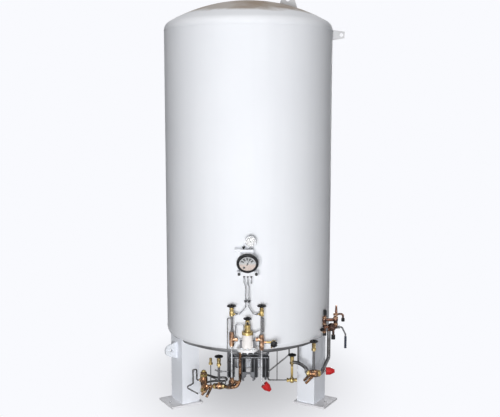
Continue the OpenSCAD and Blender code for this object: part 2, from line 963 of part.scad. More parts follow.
// Check valve under the left riser, and the fine tubes that drop from the manifolds
fill_drop = 332;
fill_z = seam_height - fill_drop;
fill_body_d = 62;
fill_port_out = 28;
fill_cap = 46;
copper_bend = 34;
copper_reach = 76;
copper_back = 138;
copper_diameter = 26;
fill_link = 40;
module fill_check_valve() {
    copper_x = left_x + copper_reach;
    copper_y = -shell_radius + copper_back;
    liquid_end = liquid_x + lower_span / 2;
    color([0.66, 0.4, 0.22])
        outside_tank() {
            translate([left_x, riser_y, fill_z]) {
                sphere(d = fill_body_d);
                cylinder(d = manifold_nut, h = fill_cap, $fn = 6);
                translate([fill_port_out, 0, 0])
                    rotate([0, 90, 0])
                        cylinder(d = port_nut, h = port_nut_length, $fn = 6);
            }
            tube([
                [left_x, riser_y, fill_z], [copper_x, riser_y, fill_z],
                [copper_x, copper_y, fill_z], [copper_x, copper_y, seam_height]
            ], copper_diameter, copper_bend);
            tube([
                [liquid_end, liquid_y, liquid_z], [liquid_end + fill_link, liquid_y, liquid_z],
                [left_x, riser_y, fill_z]
            ], copper_diameter, copper_diameter);
        }
}
cap_drop = 310;
cap_reach = 52;
tee_turn_x = -182;
tee_back = 200;
module lower_riser_tubes() {
    cap_z = right_manifold_foot - cap_drop;
    tee_z = liquid_z + tee_rise;
    tee_y = -shell_radius + tee_back;
    color("silver")
        outside_tank() {
            rod(
                [left_x, riser_y, fill_z + fill_cap], [left_x, riser_y, left_manifold_foot],
                pipe_diameter
            );
            tube([
                [right_x, riser_y, right_manifold_foot], [right_x, riser_y, cap_z],
                [right_x + cap_reach, riser_y, cap_z - cap_reach]
            ], pipe_diameter, riser_bend);
            tube([
                [liquid_x + tee_reach, liquid_y, tee_z], [tee_turn_x, liquid_y, tee_z],
                [tee_turn_x, tee_y, tee_z], [tee_turn_x, tee_y, seam_height]
            ], tube_diameter, tube_bend);
        }
}

// Lower left: liquid valve, fill body and their pipes
lower_bonnet = 74;
lower_body = 58;
lower_span = 100;
liquid_x = -282;
liquid_inset = 98;
liquid_drop = 427;
liquid_y = -(shell_radius - liquid_inset);
liquid_z = seam_height - liquid_drop;
liquid_top = 277;
tee_rise = 145;
tee_reach = 30;
latch_out = 38;
latch_up = 16;
module liquid_valve() {
    color([0.66, 0.4, 0.22])
        translate([liquid_x, liquid_y, liquid_z]) {
            long_valve(lower_body, lower_span, liquid_top, lower_bonnet);
            rod([0, 0, tee_rise], [tee_reach, 0, tee_rise], instrument_port_d);
            rod([0, 0, tee_rise], [-latch_out, 0, tee_rise + latch_up], pipe_diameter);
        }
}
module liquid_handwheel() {
    translate([liquid_x, liquid_y, liquid_z + liquid_top + wheel_gap])
        handwheel(lower_wheel, stem_grip + wheel_gap);
}
fill_x = -428;
fill_column = 52;
fill_column_foot = 60;
fill_column_rise = 140;
fill_nut = 62;
fill_nut_height = 24;
fill_port = 42;
fill_loop_rise = 60;
stub_diameter = 26;
stub_bore = 18;
stub_depth = 60;
left_stub = [50, -12, 0];
left_stub_way = [-0.62, -0.45, -0.64];
left_stub_length = 105;
right_stub = [78, 0, 0];
right_stub_way = [-0.42, -0.5, -0.75];
right_stub_length = 118;
module stub_hole(at, way, length) {
    tip = at + unit(way) * length;
    rod(tip - unit(way) * stub_depth, tip + unit(way) * overrun, stub_bore);
}
module open_stub(at, way, length) {
    difference() {
        rod(at, at + unit(way) * length, stub_diameter);
        stub_hole(at, way, length);
    }
}
small_riser_x = -360;
small_riser_rise = 215;
riser_boss = 16;
riser_boss_rise = 24;
module fill_body() {
    run = liquid_x - lower_span / 2 - fill_x;
    boss_x = small_riser_x - fill_x;
    color([0.66, 0.4, 0.22])
        translate([fill_x, liquid_y, liquid_z])
            difference() {
                union() {
                    translate([0, 0, -fill_column_foot])
                        cylinder(d = fill_column, h = fill_column_foot + fill_column_rise);
                    for (z = [-fill_column_foot, fill_column_rise - fill_nut_height])
                        translate([0, 0, z])
                            cylinder(d = fill_nut, h = fill_nut_height, $fn = 6);
                    rod([0, 0, 0], [fill_port, 0, 0], port_diameter);
                    rod([0, 0, 0], [run, 0, 0], copper_diameter);
                    rod([boss_x, 0, 0], [boss_x, 0, riser_boss_rise], riser_boss);
                    rod([0, 0, fill_loop_rise], [-fill_port, 0, fill_loop_rise], port_diameter);
                    open_stub(left_stub, left_stub_way, left_stub_length);
                    open_stub(right_stub, right_stub_way, right_stub_length);
                }
                stub_hole(left_stub, left_stub_way, left_stub_length);
                stub_hole(right_stub, right_stub_way, right_stub_length);
            }
}
loop_gap = 36;
loop_height = 104;
vee_out = 130;
vee_drop = 36;
vee_low = 106;
vee_back = 10;
spur_rise = 90;
spur_front = 36;
spur_out = 30;
spur_reach = 110;
spur_drop = 44;
ring_radius = 17;
ring_tilt = 50;
module lower_left_pipes() {
    left = fill_x - fill_port;
    z = liquid_z + fill_loop_rise;
    near = left - riser_bend;
    far = near - loop_gap;
    spur_y = liquid_y - spur_front;
    spur_z = liquid_z + spur_rise;
    spur_end = [small_riser_x + spur_reach, spur_y, spur_z - spur_drop];
    color([0.35, 0.36, 0.36]) {
        rod(
            [small_riser_x, liquid_y, liquid_z + riser_boss_rise],
            [small_riser_x, liquid_y, liquid_z + small_riser_rise], tube_diameter
        );
        tube([
            [left, liquid_y, z], [near, liquid_y, z], [near, liquid_y, z + loop_height],
            [far, liquid_y, z + loop_height], [far, liquid_y, z - loop_gap],
            [left - vee_out, liquid_y, z - vee_drop - loop_gap],
            [left - vee_back, liquid_y - riser_bend, z - vee_low - riser_bend]
        ], pipe_diameter, tube_bend);
        tube([
            [small_riser_x, liquid_y, spur_z], [small_riser_x + spur_out, spur_y, spur_z], spur_end
        ], tube_diameter, tube_bend);
        translate(spur_end + [ring_radius, 0, 0])
            rotate([ring_tilt, 0, 0])
                rotate_extrude()
                    translate([ring_radius, 0])
                        circle(d = tube_diameter);
    }
}
relief_small = 26;
relief_small_height = 62;
relief_nut_height = 18;
module fill_relief_valve() {
    color([0.72, 0.53, 0.2])
        translate([small_riser_x, liquid_y, liquid_z + small_riser_rise]) {
            cylinder(d = relief_small, h = relief_small_height);
            cylinder(d = manifold_nut, h = relief_nut_height, $fn = 6);
        }
}

// Lower right: drain valve, vent valve and their pipes
drain_x = 425;
drain_inset = 218;
drain_drop = 409;
drain_y = -(shell_radius - drain_inset);
drain_z = seam_height - drain_drop;
drain_top = 236;
vent_x = 630;
vent_inset = 148;
vent_drop = 318;
vent_y = -(shell_radius - vent_inset);
vent_z = seam_height - vent_drop;
vent_top = 302;
module drain_valve() {
    color([0.72, 0.53, 0.2])
        translate([drain_x, drain_y, drain_z])
            long_valve(lower_body, lower_span, drain_top, lower_bonnet);
}
module drain_handwheel() {
    translate([drain_x, drain_y, drain_z + drain_top + wheel_gap])
        handwheel(lower_wheel, stem_grip + wheel_gap);
}
vent_stub_way = [-0.72, -0.4, -0.57];
vent_stub_length = 122;
vent_stub_aside = 9;
vent_stub_up = 13;
module vent_valve() {
    color([0.66, 0.4, 0.22])
        translate([vent_x, vent_y, vent_z]) {
            long_valve(lower_body, lower_span, vent_top, lower_bonnet);
            for (side = [-1, 1])
                open_stub(
                    [-side * vent_stub_aside, 0, side * vent_stub_up],
                    vent_stub_way, vent_stub_length
                );
        }
}
module vent_handwheel() {
    translate([vent_x, vent_y, vent_z + vent_top + wheel_gap])
        handwheel(lower_wheel, stem_grip + wheel_gap);
}
slant_low_x = 192;
slant_low_rise = 56;
slant_high_x = 400;
slant_high_rise = 232;
slant_back = 72;
thin_x = 280;
jay_x = 490;
jay_inset = 278;
jay_drop = 247;
jay_z = seam_height - jay_drop;
jay_out_x = 550;
relief_x = (shell_radius + relief_standoff) * cos(relief_angle);
relief_y = (shell_radius + relief_standoff) * sin(relief_angle);
relief_z = seam_height + diverter_rise;
feed_in = 30;
feed_drop = 246;
feed_lead = 22;
relief_feed_x = relief_x - feed_in;
relief_feed_z = seam_height - feed_drop;
diverter_neck = 40;
cap_tee_share = 0.148;
cap_stub_out = 76;
feed_diameter = 36;
feed_bend = 30;
feed_start = [vent_x + lower_span / 2 + feed_lead, vent_y, vent_z];
feed_corner = [relief_feed_x, relief_y, relief_feed_z];
feed_top = [relief_feed_x, relief_y, relief_z - diverter_neck];
cap_tee = feed_start + (feed_corner - feed_start) * cap_tee_share;
module lower_right_pipes() {
    jay_y = -shell_radius + jay_inset;
    slant_y = drain_y + slant_back;
    vent_end = vent_x - lower_span / 2;
    color([0.3, 0.31, 0.31])
        outside_tank() {
            tube([
                [drain_x - lower_span / 2, drain_y, drain_z], [slant_low_x, drain_y, drain_z],
                [slant_low_x, slant_y, drain_z + slant_low_rise],
                [slant_high_x, slant_y, drain_z + slant_high_rise], [slant_high_x, slant_y, seam_height]
            ], pipe_diameter, riser_bend);
            rod([thin_x, drain_y, drain_z], [thin_x, drain_y, seam_height], tube_diameter);
            tube([
                [jay_x, jay_y, seam_height], [jay_x, jay_y, jay_z],
                [jay_out_x, vent_y, jay_z - riser_bend], [vent_end - riser_bend, vent_y, vent_z],
                [vent_end, vent_y, vent_z]
            ], riser_diameter, riser_diameter);
            tube([
                feed_start - [feed_lead, 0, 0], feed_start, feed_corner, feed_top
            ], feed_diameter, feed_bend);
            rod(cap_tee, cap_tee + [cap_stub_out, 0, 0], riser_diameter);
        }
}

// Relief manifold on the jacket's right side
column_left = 71;
column_right = 40;
column_diameter = 26;
column_foot = 62;
column_left_rise = 120;
column_right_rise = 160;
taper_height = 62;
taper_tip = 16;
hook_rise = 132;
hook_out = 68;
hook_drop = 42;
hook_bend = 22;
knob_drop = 17;
knob_way = [-0.6, -0.8, 0];
knob_stub = 38;
plug_out = 14;
plug_drop = 80;
plug_stub = 24;
spindle_diameter = 34;
spindle_reach = 56;
bracket_diameter = 34;
column_left_x = relief_x - column_left;
column_right_x = relief_x + column_right;
hook_x = column_right_x + hook_out;
hook_z = relief_z + hook_rise;
knob_foot = [column_left_x, relief_y, relief_z - knob_drop];
plug_foot = [relief_x + plug_out, relief_y, relief_z - plug_drop];
module relief_manifold() {
    centre = [relief_x, relief_y, relief_z];
    right_top = [column_right_x, relief_y, relief_z + column_right_rise];
    bore_start = spindle_reach - stem_grip - bore_spare;
    color([0.66, 0.4, 0.22])
        outside_tank()
            difference() {
                union() {
                    translate(centre)
                        rotate([90, -90, 0])
                            sphere(d = diverter_diameter);
                    rod(feed_top, [relief_feed_x, relief_y, relief_z], port_diameter);
                    rod([0, 0, relief_z] + polar(shell_radius, relief_angle), centre, bracket_diameter);
                    rod([column_left_x, relief_y, relief_z], centre, port_diameter);
                    rod(
                        [column_left_x, relief_y, relief_z - column_foot],
                        [column_left_x, relief_y, relief_z + column_left_rise], column_diameter
                    );
                    rod([column_right_x, relief_y, relief_z], right_top, column_diameter);
                    translate(right_top)
                        cylinder(d1 = column_diameter, d2 = taper_tip, h = taper_height);
                    tube([
                        [column_right_x, relief_y, hook_z], [hook_x, relief_y, hook_z],
                        [hook_x, relief_y, hook_z - hook_drop]
                    ], riser_diameter, hook_bend);
                    rod(knob_foot, knob_foot + knob_way * knob_stub, riser_diameter);
                    rod(plug_foot, plug_foot + [0, 0, plug_drop], plug_stub);
                    rod(centre, centre + [spindle_reach, 0, 0], spindle_diameter);
                }
                rod(
                    centre + [bore_start, 0, 0], centre + [spindle_reach + overrun, 0, 0],
                    stem_diameter + 2 * stem_play
                );
            }
}
relief_cap = 34;
relief_cap_height = 52;
burst_cap = 24;
hook_cap = 32;
plug_cap = 40;
plug_cap_height = 44;
knob_cap = 30;
knob_cap_length = 26;
module relief_valves() {
    knob_end = knob_foot + knob_way * knob_stub;
    color([0.09, 0.09, 0.1]) {
        translate([column_left_x, relief_y, relief_z + column_left_rise])
            cylinder(d = relief_cap, h = relief_cap_height);
        translate([column_left_x, relief_y, relief_z - column_foot - burst_cap])
            cylinder(d = relief_cap, h = burst_cap);
        translate([hook_x, relief_y, hook_z - hook_drop - hook_cap])
            cylinder(d = relief_cap, h = hook_cap);
        translate(plug_foot - [0, 0, plug_cap_height])
            cylinder(d = plug_cap, h = plug_cap_height);
        rod(knob_end, knob_end + knob_way * knob_cap_length, knob_cap);
    }
}
lever_diameter = 16;
lever_out = 74;
lever_boss = 32;
lever_bend = 24;
module diverter_lever() {
    start = [relief_x + spindle_reach + wheel_gap, relief_y, relief_z];
    color([0.2, 0.2, 0.21]) {
        rod(start - [wheel_gap + stem_grip, 0, 0], start, stem_diameter);
        rod(start, start + [lever_boss / 2, 0, 0], lever_boss);
        tube([
            start, start + [lever_out / 2, 0, 0], start + [lever_out, 0, -lever_out],
            start + [lever_out, 0, -lever_length]
        ], lever_diameter, lever_bend);
    }
}

// Red caps on the two outlets
cap_diameter = 74;
cap_length = 84;
cap_tip_share = 0.45;
cap_grip = 40;
cap_wall = 3;
module outlet_cap(tip, way, d) {
    length = cap_length - cap_grip;
    color([0.8, 0.1, 0.08])
        translate(tip - unit(way) * cap_grip)
            rotate([0, acos(unit(way)[2]), atan2(way[1], way[0])])
                difference() {
                    union() {
                        cylinder(d = cap_diameter, h = cap_grip + cap_wall);
                        translate([0, 0, cap_grip])
                            cylinder(d1 = cap_diameter, d2 = cap_diameter * cap_tip_share, h = length);
                    }
                    translate([0, 0, -overrun])
                        cylinder(d = d + 2 * seat, h = cap_grip + overrun);
                }
}
module outlet_caps() {
    cap_z = right_manifold_foot - cap_drop - cap_reach;
    outlet_cap([right_x + cap_reach, riser_y, cap_z], [1, 0, -1], pipe_diameter);
    outlet_cap(cap_tee + [cap_stub_out, 0, 0], [1, 0, 0], riser_diameter);
}

jacket_shell();
top_head();
bottom_head();
leg_front_left();
leg_front_right();
leg_rear();
base_plate_front_left();
base_plate_front_right();
base_plate_rear();
crown_lug();
side_lug();
tailing_lug();
gauge_bracket();
level_gauge();
pressure_gauge();
gauge_dials();
gauge_knobs();
gauge_tubes();
left_instrument_valve();
right_instrument_valve();
left_riser();
right_riser();
left_manifold();
right_manifold();
centre_valve_body();
centre_valve_bonnet();
cross_tubes();
side_valve();
vaporizer();
fill_check_valve();
lower_riser_tubes();
liquid_valve();
fill_body();
lower_left_pipes();
fill_relief_valve();
drain_valve();
vent_valve();
lower_right_pipes();
relief_manifold();
relief_valves();
outlet_caps();
left_handwheel();
right_handwheel();
centre_handwheel();
side_handwheel();
liquid_handwheel();
drain_handwheel();
vent_handwheel();
diverter_lever();
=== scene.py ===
"""Looks of an upright pressure tank: its finishes, gauge faces, small hardware and studio."""

import json
import logging
import math
from dataclasses import dataclass
from enum import Enum
from typing import Callable, ClassVar, Optional, Sequence, Union

import bmesh
import bpy
from mathutils import Matrix, Vector


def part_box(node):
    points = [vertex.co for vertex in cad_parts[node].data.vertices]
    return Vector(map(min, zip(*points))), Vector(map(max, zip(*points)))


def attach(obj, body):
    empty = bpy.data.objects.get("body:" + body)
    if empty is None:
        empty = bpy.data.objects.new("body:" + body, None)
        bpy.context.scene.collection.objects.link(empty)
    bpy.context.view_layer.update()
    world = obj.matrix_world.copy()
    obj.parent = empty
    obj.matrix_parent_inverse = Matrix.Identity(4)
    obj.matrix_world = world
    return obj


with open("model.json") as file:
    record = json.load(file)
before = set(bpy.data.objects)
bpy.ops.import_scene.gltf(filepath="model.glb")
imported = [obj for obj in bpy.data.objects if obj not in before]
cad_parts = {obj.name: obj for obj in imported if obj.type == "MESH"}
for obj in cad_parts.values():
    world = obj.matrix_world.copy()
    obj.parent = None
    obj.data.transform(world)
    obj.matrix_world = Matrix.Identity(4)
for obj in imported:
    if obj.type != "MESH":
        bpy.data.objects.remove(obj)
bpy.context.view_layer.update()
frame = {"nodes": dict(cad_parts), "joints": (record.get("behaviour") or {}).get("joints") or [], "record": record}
LOG = logging.getLogger("tank")

Point = tuple[float, float, float]
Pair = tuple[float, float]
Colour = tuple[float, float, float]
Socket = bpy.types.NodeSocket
Source = Union[Socket, float, tuple[float, ...]]
Material = bpy.types.Material
Thing = bpy.types.Object

UP: Point = (0.0, 0.0, 1.0)
DOWN: Point = (0.0, 0.0, -1.0)
ACROSS: Point = (1.0, 0.0, 0.0)
EVEN: Point = (1.0, 1.0, 1.0)
FACING = 0.9
TINY = 1e-5
HEX, SMALL, ROUND = 6, 24, 32


class Slot(Enum):
    """Material slots of the record that the pieces take their finish from."""

    TANK_WHITE = "white_paint"
    LEG_WHITE = "leg_paint"
    PLATE_WHITE = "plate_paint"
    GAUGE_BLACK = "gauge_black"
    GAUGE_GREY = "gauge_grey"
    DIAL = "dial_white"
    TUBE = "tube_steel"
    BRASS = "brass"
    BRONZE = "bronze"
    DARK_PIPE = "dark_pipe"
    FINS = "fin_aluminium"
    CAP_BLACK = "cap_black"
    CAP_RED = "cap_red"
    WHEEL = "wheel_black"


@dataclass(frozen=True)
class Mottle:
    """A noise pattern whose values from low to high are stretched to another range."""

    scale: float
    detail: float
    low: float
    high: float
    to_low: float
    to_high: float
    stretch: Point = EVEN


@dataclass(frozen=True)
class Grain:
    """A fine noise that raises a surface by a depth in metres, and how strongly it shows."""

    scale: float
    detail: float
    depth: float
    strength: float
    stretch: Point = EVEN


class Nodes:
    """A node tree that is built one node at a time."""

    def __init__(self, owner: Union[Material, bpy.types.World]) -> None:
        """Start from an empty tree.

        Args:
            owner: the material or the world that the tree belongs to.
        """
        owner.use_nodes = True
        self.tree = owner.node_tree
        self.tree.nodes.clear()

    def plug(self, socket: Socket, source: Source) -> None:
        """Link an output to an input, or set the input's value.

        Args:
            socket: the input.
            source: the output, or the value.
        """
        if isinstance(source, Socket):
            self.tree.links.new(source, socket)
        else:
            socket.default_value = source

    def node(self, kind: str, *sources: Source, **named: Union[Source, str]) -> bpy.types.Node:
        """Add a node.

        Args:
            kind: its type, without the leading ShaderNode.
            sources: what goes into its first inputs.
            named: what goes into other inputs, by name, and the node's settings, which are words.

        Returns:
            The node.
        """
        node = self.tree.nodes.new("ShaderNode" + kind)
        for key, source in (*enumerate(sources), *named.items()):
            if isinstance(source, str):
                setattr(node, key, source)
            else:
                self.plug(node.inputs[key], source)
        return node

    def combine(self, operation: str, first: Socket, second: Socket) -> Socket:
        """Work out a value from two others, by an operation's name in the Math node."""
        return self.node("Math", first, second, operation=operation).outputs["Value"]

    def seen_rays(self) -> Socket:
        """Tell the rays that show the surround, straight or in metal and glass.

        Returns:
            1 for such a ray, 0 for others.
        """
        path = self.node("LightPath").outputs
        total = path["Is Camera Ray"]
        for name in ("Is Glossy Ray", "Is Transmission Ray"):
            total = self.combine("MAXIMUM", total, path[name])
        return total


class Graph(Nodes):
    """A material's node tree, with its patterns on Object coordinates."""

    def __init__(self, name: str) -> None:
        """Start a material with its shader and output.

        Args:
            name: the material's name.
        """
        self.material = bpy.data.materials.new(name)
        super().__init__(self.material)
        self.shader = self.node("BsdfPrincipled")
        self.output = self.node("OutputMaterial", self.shader.outputs["BSDF"])
        self.place = self.node("TexCoord").outputs["Object"]

    def set(self, **sources: Source) -> None:
        """Feed the shader's inputs, with spaces in their names written as underscores."""
        for name, source in sources.items():
            self.plug(self.shader.inputs[name.replace("_", " ")], source)

    def noise(self, scale: float, detail: float, stretch: Point = EVEN) -> Socket:
        """Add noise with so many patches per metre, which stretch makes denser along an axis."""
        spot = self.node("Mapping", Vector=self.place, Scale=stretch).outputs["Vector"]
        return self.node("TexNoise", Vector=spot, Scale=scale, Detail=detail).outputs["Fac"]

    def spread(self, value: Socket, *ends: float, curve: str = "LINEAR") -> Socket:
        """Stretch a value between two ends, which become two others, and hold it there."""
        return self.node("MapRange", value, *ends, interpolation_type=curve).outputs["Result"]

    def mottle(self, pattern: Mottle, base: float = 0.0, most: float = 1.0) -> Socket:
        """Lay a mottled pattern.

        Args:
            pattern: the pattern.
            base: what is added to the range it is stretched to.
            most: the share of that range's upper end that it reaches.

        Returns:
            The pattern's value.
        """
        noise = self.noise(pattern.scale, pattern.detail, pattern.stretch)
        ends = (base + pattern.to_low, base + most * pattern.to_high)
        return self.spread(noise, pattern.low, pattern.high, *ends)

    def colours(self, share: Socket, *pair: Union[Colour, Socket]) -> Socket:
        """Mix two colours.

        Args:
            share: how much of the second colour shows.
            pair: the colours, each plain or the output of another mix.

        Returns:
            The mixed colour.
        """
        step = self.node("Mix", share, data_type="RGBA")
        sockets = [socket for socket in step.inputs if socket.type == "RGBA"]
        for socket, colour in zip(sockets, pair):
            self.plug(socket, (*colour, 1.0) if isinstance(colour, tuple) else colour)
        return next(socket for socket in step.outputs if socket.type == "RGBA")

    def along(self, way: Point, source: Optional[Socket] = None) -> Socket:
        """Measure the spot's place, or another vector, along a direction."""
        return self.node("VectorMath", source or self.place, way, operation="DOT_PRODUCT").outputs["Value"]

    def facing(self) -> Socket:
        """Give how far the surface faces up, from -1 to 1."""
        return self.along(UP, self.node("NewGeometry").outputs["Normal"])

    def colour(self, source: Socket, zones: "Sequence[Zone]" = ()) -> None:
        """Give the shader its colour.

        Args:
            source: the colour of the whole piece.
            zones: stretches with another colour, laid over it in order.
        """
        for zone in zones:
            source = zone.paint(self, source)
        self.set(Base_Color=source)


@dataclass(frozen=True)
class Zone:
    """A stretch of a piece that has a colour of its own, between two bounds along a direction."""

    colour: Colour
    way: Point
    low: float
    high: float
    blur: float = 0.0008

    def paint(self, graph: Graph, under: Socket) -> Socket:
        """Lay the zone's colour over another.

        Args:
            graph: the graph to build in.
            under: the colour of the rest.

        Returns:
            The two colours together.
        """
        place = graph.along(self.way)
        enters = graph.spread(place, self.low - self.blur, self.low + self.blur, 0.0, 1.0)
        leaves = graph.spread(place, self.high - self.blur, self.high + self.blur, 1.0, 0.0)
        return graph.colours(graph.combine("MULTIPLY", enters, leaves), under, self.colour)


@dataclass(frozen=True)
class Finish:
    """A colour under mottled layers of another, with zones, on a worn and grained surface."""

    name: str
    colour: Colour
    over: Colour
    layers: ClassVar[tuple[Mottle, ...]] = ()
    wear: ClassVar[Mottle]
    grain: ClassVar[Optional[Grain]] = None
    zones = ()
    most = 1.0
    rough = 0.0
    metallic = 0.0
    gloss = 0.5
    cover = 1.0

    def tones(self, graph: Graph) -> Socket:
        """Lay the layers over the colour.

        Args:
            graph: the graph to build in.

        Returns:
            The colour of the whole.
        """
        tone: Union[Colour, Socket] = self.colour
        for pattern in self.layers:
            tone = graph.colours(graph.mottle(pattern, most=self.most), tone, self.over)
        return tone

    def make(self) -> Material:
        """Make the material.

        Returns:
            The finished material.
        """
        graph = Graph(self.name)
        graph.colour(self.tones(graph), self.zones)
        graph.set(Roughness=graph.mottle(self.wear, self.rough), Alpha=self.cover)
        graph.set(Metallic=self.metallic, Specular_IOR_Level=self.gloss)
        if self.grain:
            height = graph.noise(self.grain.scale, self.grain.detail, self.grain.stretch)
            bump = graph.node("Bump", Height=height, Distance=self.grain.depth, Strength=self.grain.strength)
            graph.set(Normal=bump.outputs["Normal"])
        return graph.material


@dataclass(frozen=True)
class Enamel(Finish):
    """Sprayed enamel on steel, with orange peel, faint runs, a painted shade on what faces up, and a film on what
    faces up or down, which is dust on most pieces and painted light on the dome and under the bottom head.
    """

    film: Colour = (0.52, 0.51, 0.50)
    film_from: float = 0.90
    film_full: float = 0.99
    film_most: float = 0.15
    # haze: a painted shade, how far what faces up is darkened towards the film colour
    haze: float = 0.0
    zones: tuple[Zone, ...] = ()
    up_shade_full = 0.6
    film_edge = Mottle(4.0, 5.0, 0.3, 0.7, -0.012, 0.012)
    film_patches = Mottle(3.2, 6.0, 0.34, 0.6, 0.7, 1.0)
    layers = (
        Mottle(1.1, 4.0, 0.35, 0.7, 0.0, 0.6),
        Mottle(7.0, 4.0, 0.52, 0.78, 0.0, 0.5, (1.0, 1.0, 0.06)),
    )
    rough = 0.5
    gloss = 0.02
    wear = Mottle(9.0, 3.0, 0.3, 0.7, -0.06, 0.1)
    grain = Grain(160.0, 2.0, 0.0006, 0.25)

    def tones(self, graph: Graph) -> Socket:
        """Lay the painted shade on what faces up, then the film, over the paint.

        Args:
            graph: the graph to build in.

        Returns:
            The colour of the whole.
        """
        facing = graph.facing()
        # Painted shade: what faces up is darkened towards the film colour, by up to the haze.
        up_shaded = graph.spread(facing, 0.0, self.up_shade_full, 0.0, self.haze)
        paint = graph.colours(up_shaded, super().tones(graph), self.film)
        facing = graph.combine("ADD", facing, graph.mottle(self.film_edge))
        level = graph.spread(facing, self.film_from, self.film_full, 0.0, self.film_most)
        share = graph.combine("MULTIPLY", level, graph.mottle(self.film_patches))
        return graph.colours(share, paint, self.film)


@dataclass(frozen=True)
class CastMetal(Finish):
    """Brass or bronze as it leaves the foundry, dulled in patches and rubbed bright in others."""

    bright: Colour
    rubbed = Mottle(41.0, 3.0, 0.55, 0.68, 0.0, 0.85)
    layers = (Mottle(26.0, 5.0, 0.40, 0.60, 0.0, 0.95),)
    rough = 0.34
    metallic = 0.88
    wear = Mottle(33.0, 4.0, 0.3, 0.7, -0.1, 0.18)
    grain = Grain(420.0, 3.0, 0.0005, 0.5)

    def tones(self, graph: Graph) -> Socket:
        """Rub the dulled metal bright in patches."""
        return graph.colours(graph.mottle(self.rubbed), super().tones(graph), self.bright)


@dataclass(frozen=True)
class TwoMetals(CastMetal):
    """A valve with a cast body below, a machined bonnet above and a stem between them."""

    bonnet: CastMetal
    change: float
    zones: tuple[Zone, ...] = ()
    blur: float = 0.006

    def tones(self, graph: Graph) -> Socket:
        """Lay one metal below the change and the bonnet's above."""
        share = graph.spread(graph.along(UP), self.change - self.blur, self.change + self.blur, 0.0, 1.0)
        return graph.colours(share, super().tones(graph), self.bonnet.tones(graph))


@dataclass(frozen=True)
class DrawnMetal(Finish):
    """Drawn tube or extruded fins, with faint draw lines, stains and handling marks."""

    metallic: float = 0.9
    rough: float = 0.3
    zones: tuple[Zone, ...] = ()
    layers = (
        Mottle(17.0, 6.0, 0.42, 0.7, 0.0, 0.7),
        Mottle(90.0, 2.0, 0.4, 0.8, 0.0, 0.4, (1.0, 1.0, 0.08)),
    )
    wear = Mottle(55.0, 4.0, 0.3, 0.7, -0.1, 0.15)
    grain = Grain(300.0, 2.0, 0.0003, 0.35, (1.0, 1.0, 0.1))


@dataclass(frozen=True)
class Moulded(Finish):
    """Moulded plastic or baked black enamel, with a fine grain, scuffs and a dusty bloom."""

    rough: float = 0.38
    most: float = 0.35
    gloss: float = 0.25
    zones: tuple[Zone, ...] = ()
    layers = (Mottle(24.0, 5.0, 0.45, 0.75, 0.0, 1.0), Mottle(140.0, 4.0, 0.62, 0.75, 0.0, 1.0))
    wear = Mottle(70.0, 3.0, 0.3, 0.7, -0.08, 0.15)
    grain = Grain(700.0, 2.0, 0.0003, 0.4)


@dataclass(frozen=True)
class GaugeGlass(Finish):
    """Thin clear gauge glass with a faint, dusty haze."""

    layers = (Mottle(30.0, 4.0, 0.0, 1.0, 0.0, 1.0),)
    cover = 0.1
    wear = Mottle(30.0, 4.0, 0.4, 0.7, 0.03, 0.12)


BRASS = CastMetal("brass_fittings", (0.46, 0.34, 0.13), (0.16, 0.115, 0.05), (0.80, 0.66, 0.36))
BRONZE = CastMetal("bronze_castings", (0.20, 0.10, 0.05), (0.035, 0.024, 0.02), (0.66, 0.42, 0.23))
COPPER = CastMetal("copper_blocks", (0.38, 0.22, 0.13), (0.11, 0.06, 0.04), (0.84, 0.64, 0.47))
RELIEF = CastMetal("relief_bronze", (0.12, 0.058, 0.04), (0.03, 0.018, 0.016), (0.42, 0.25, 0.18))


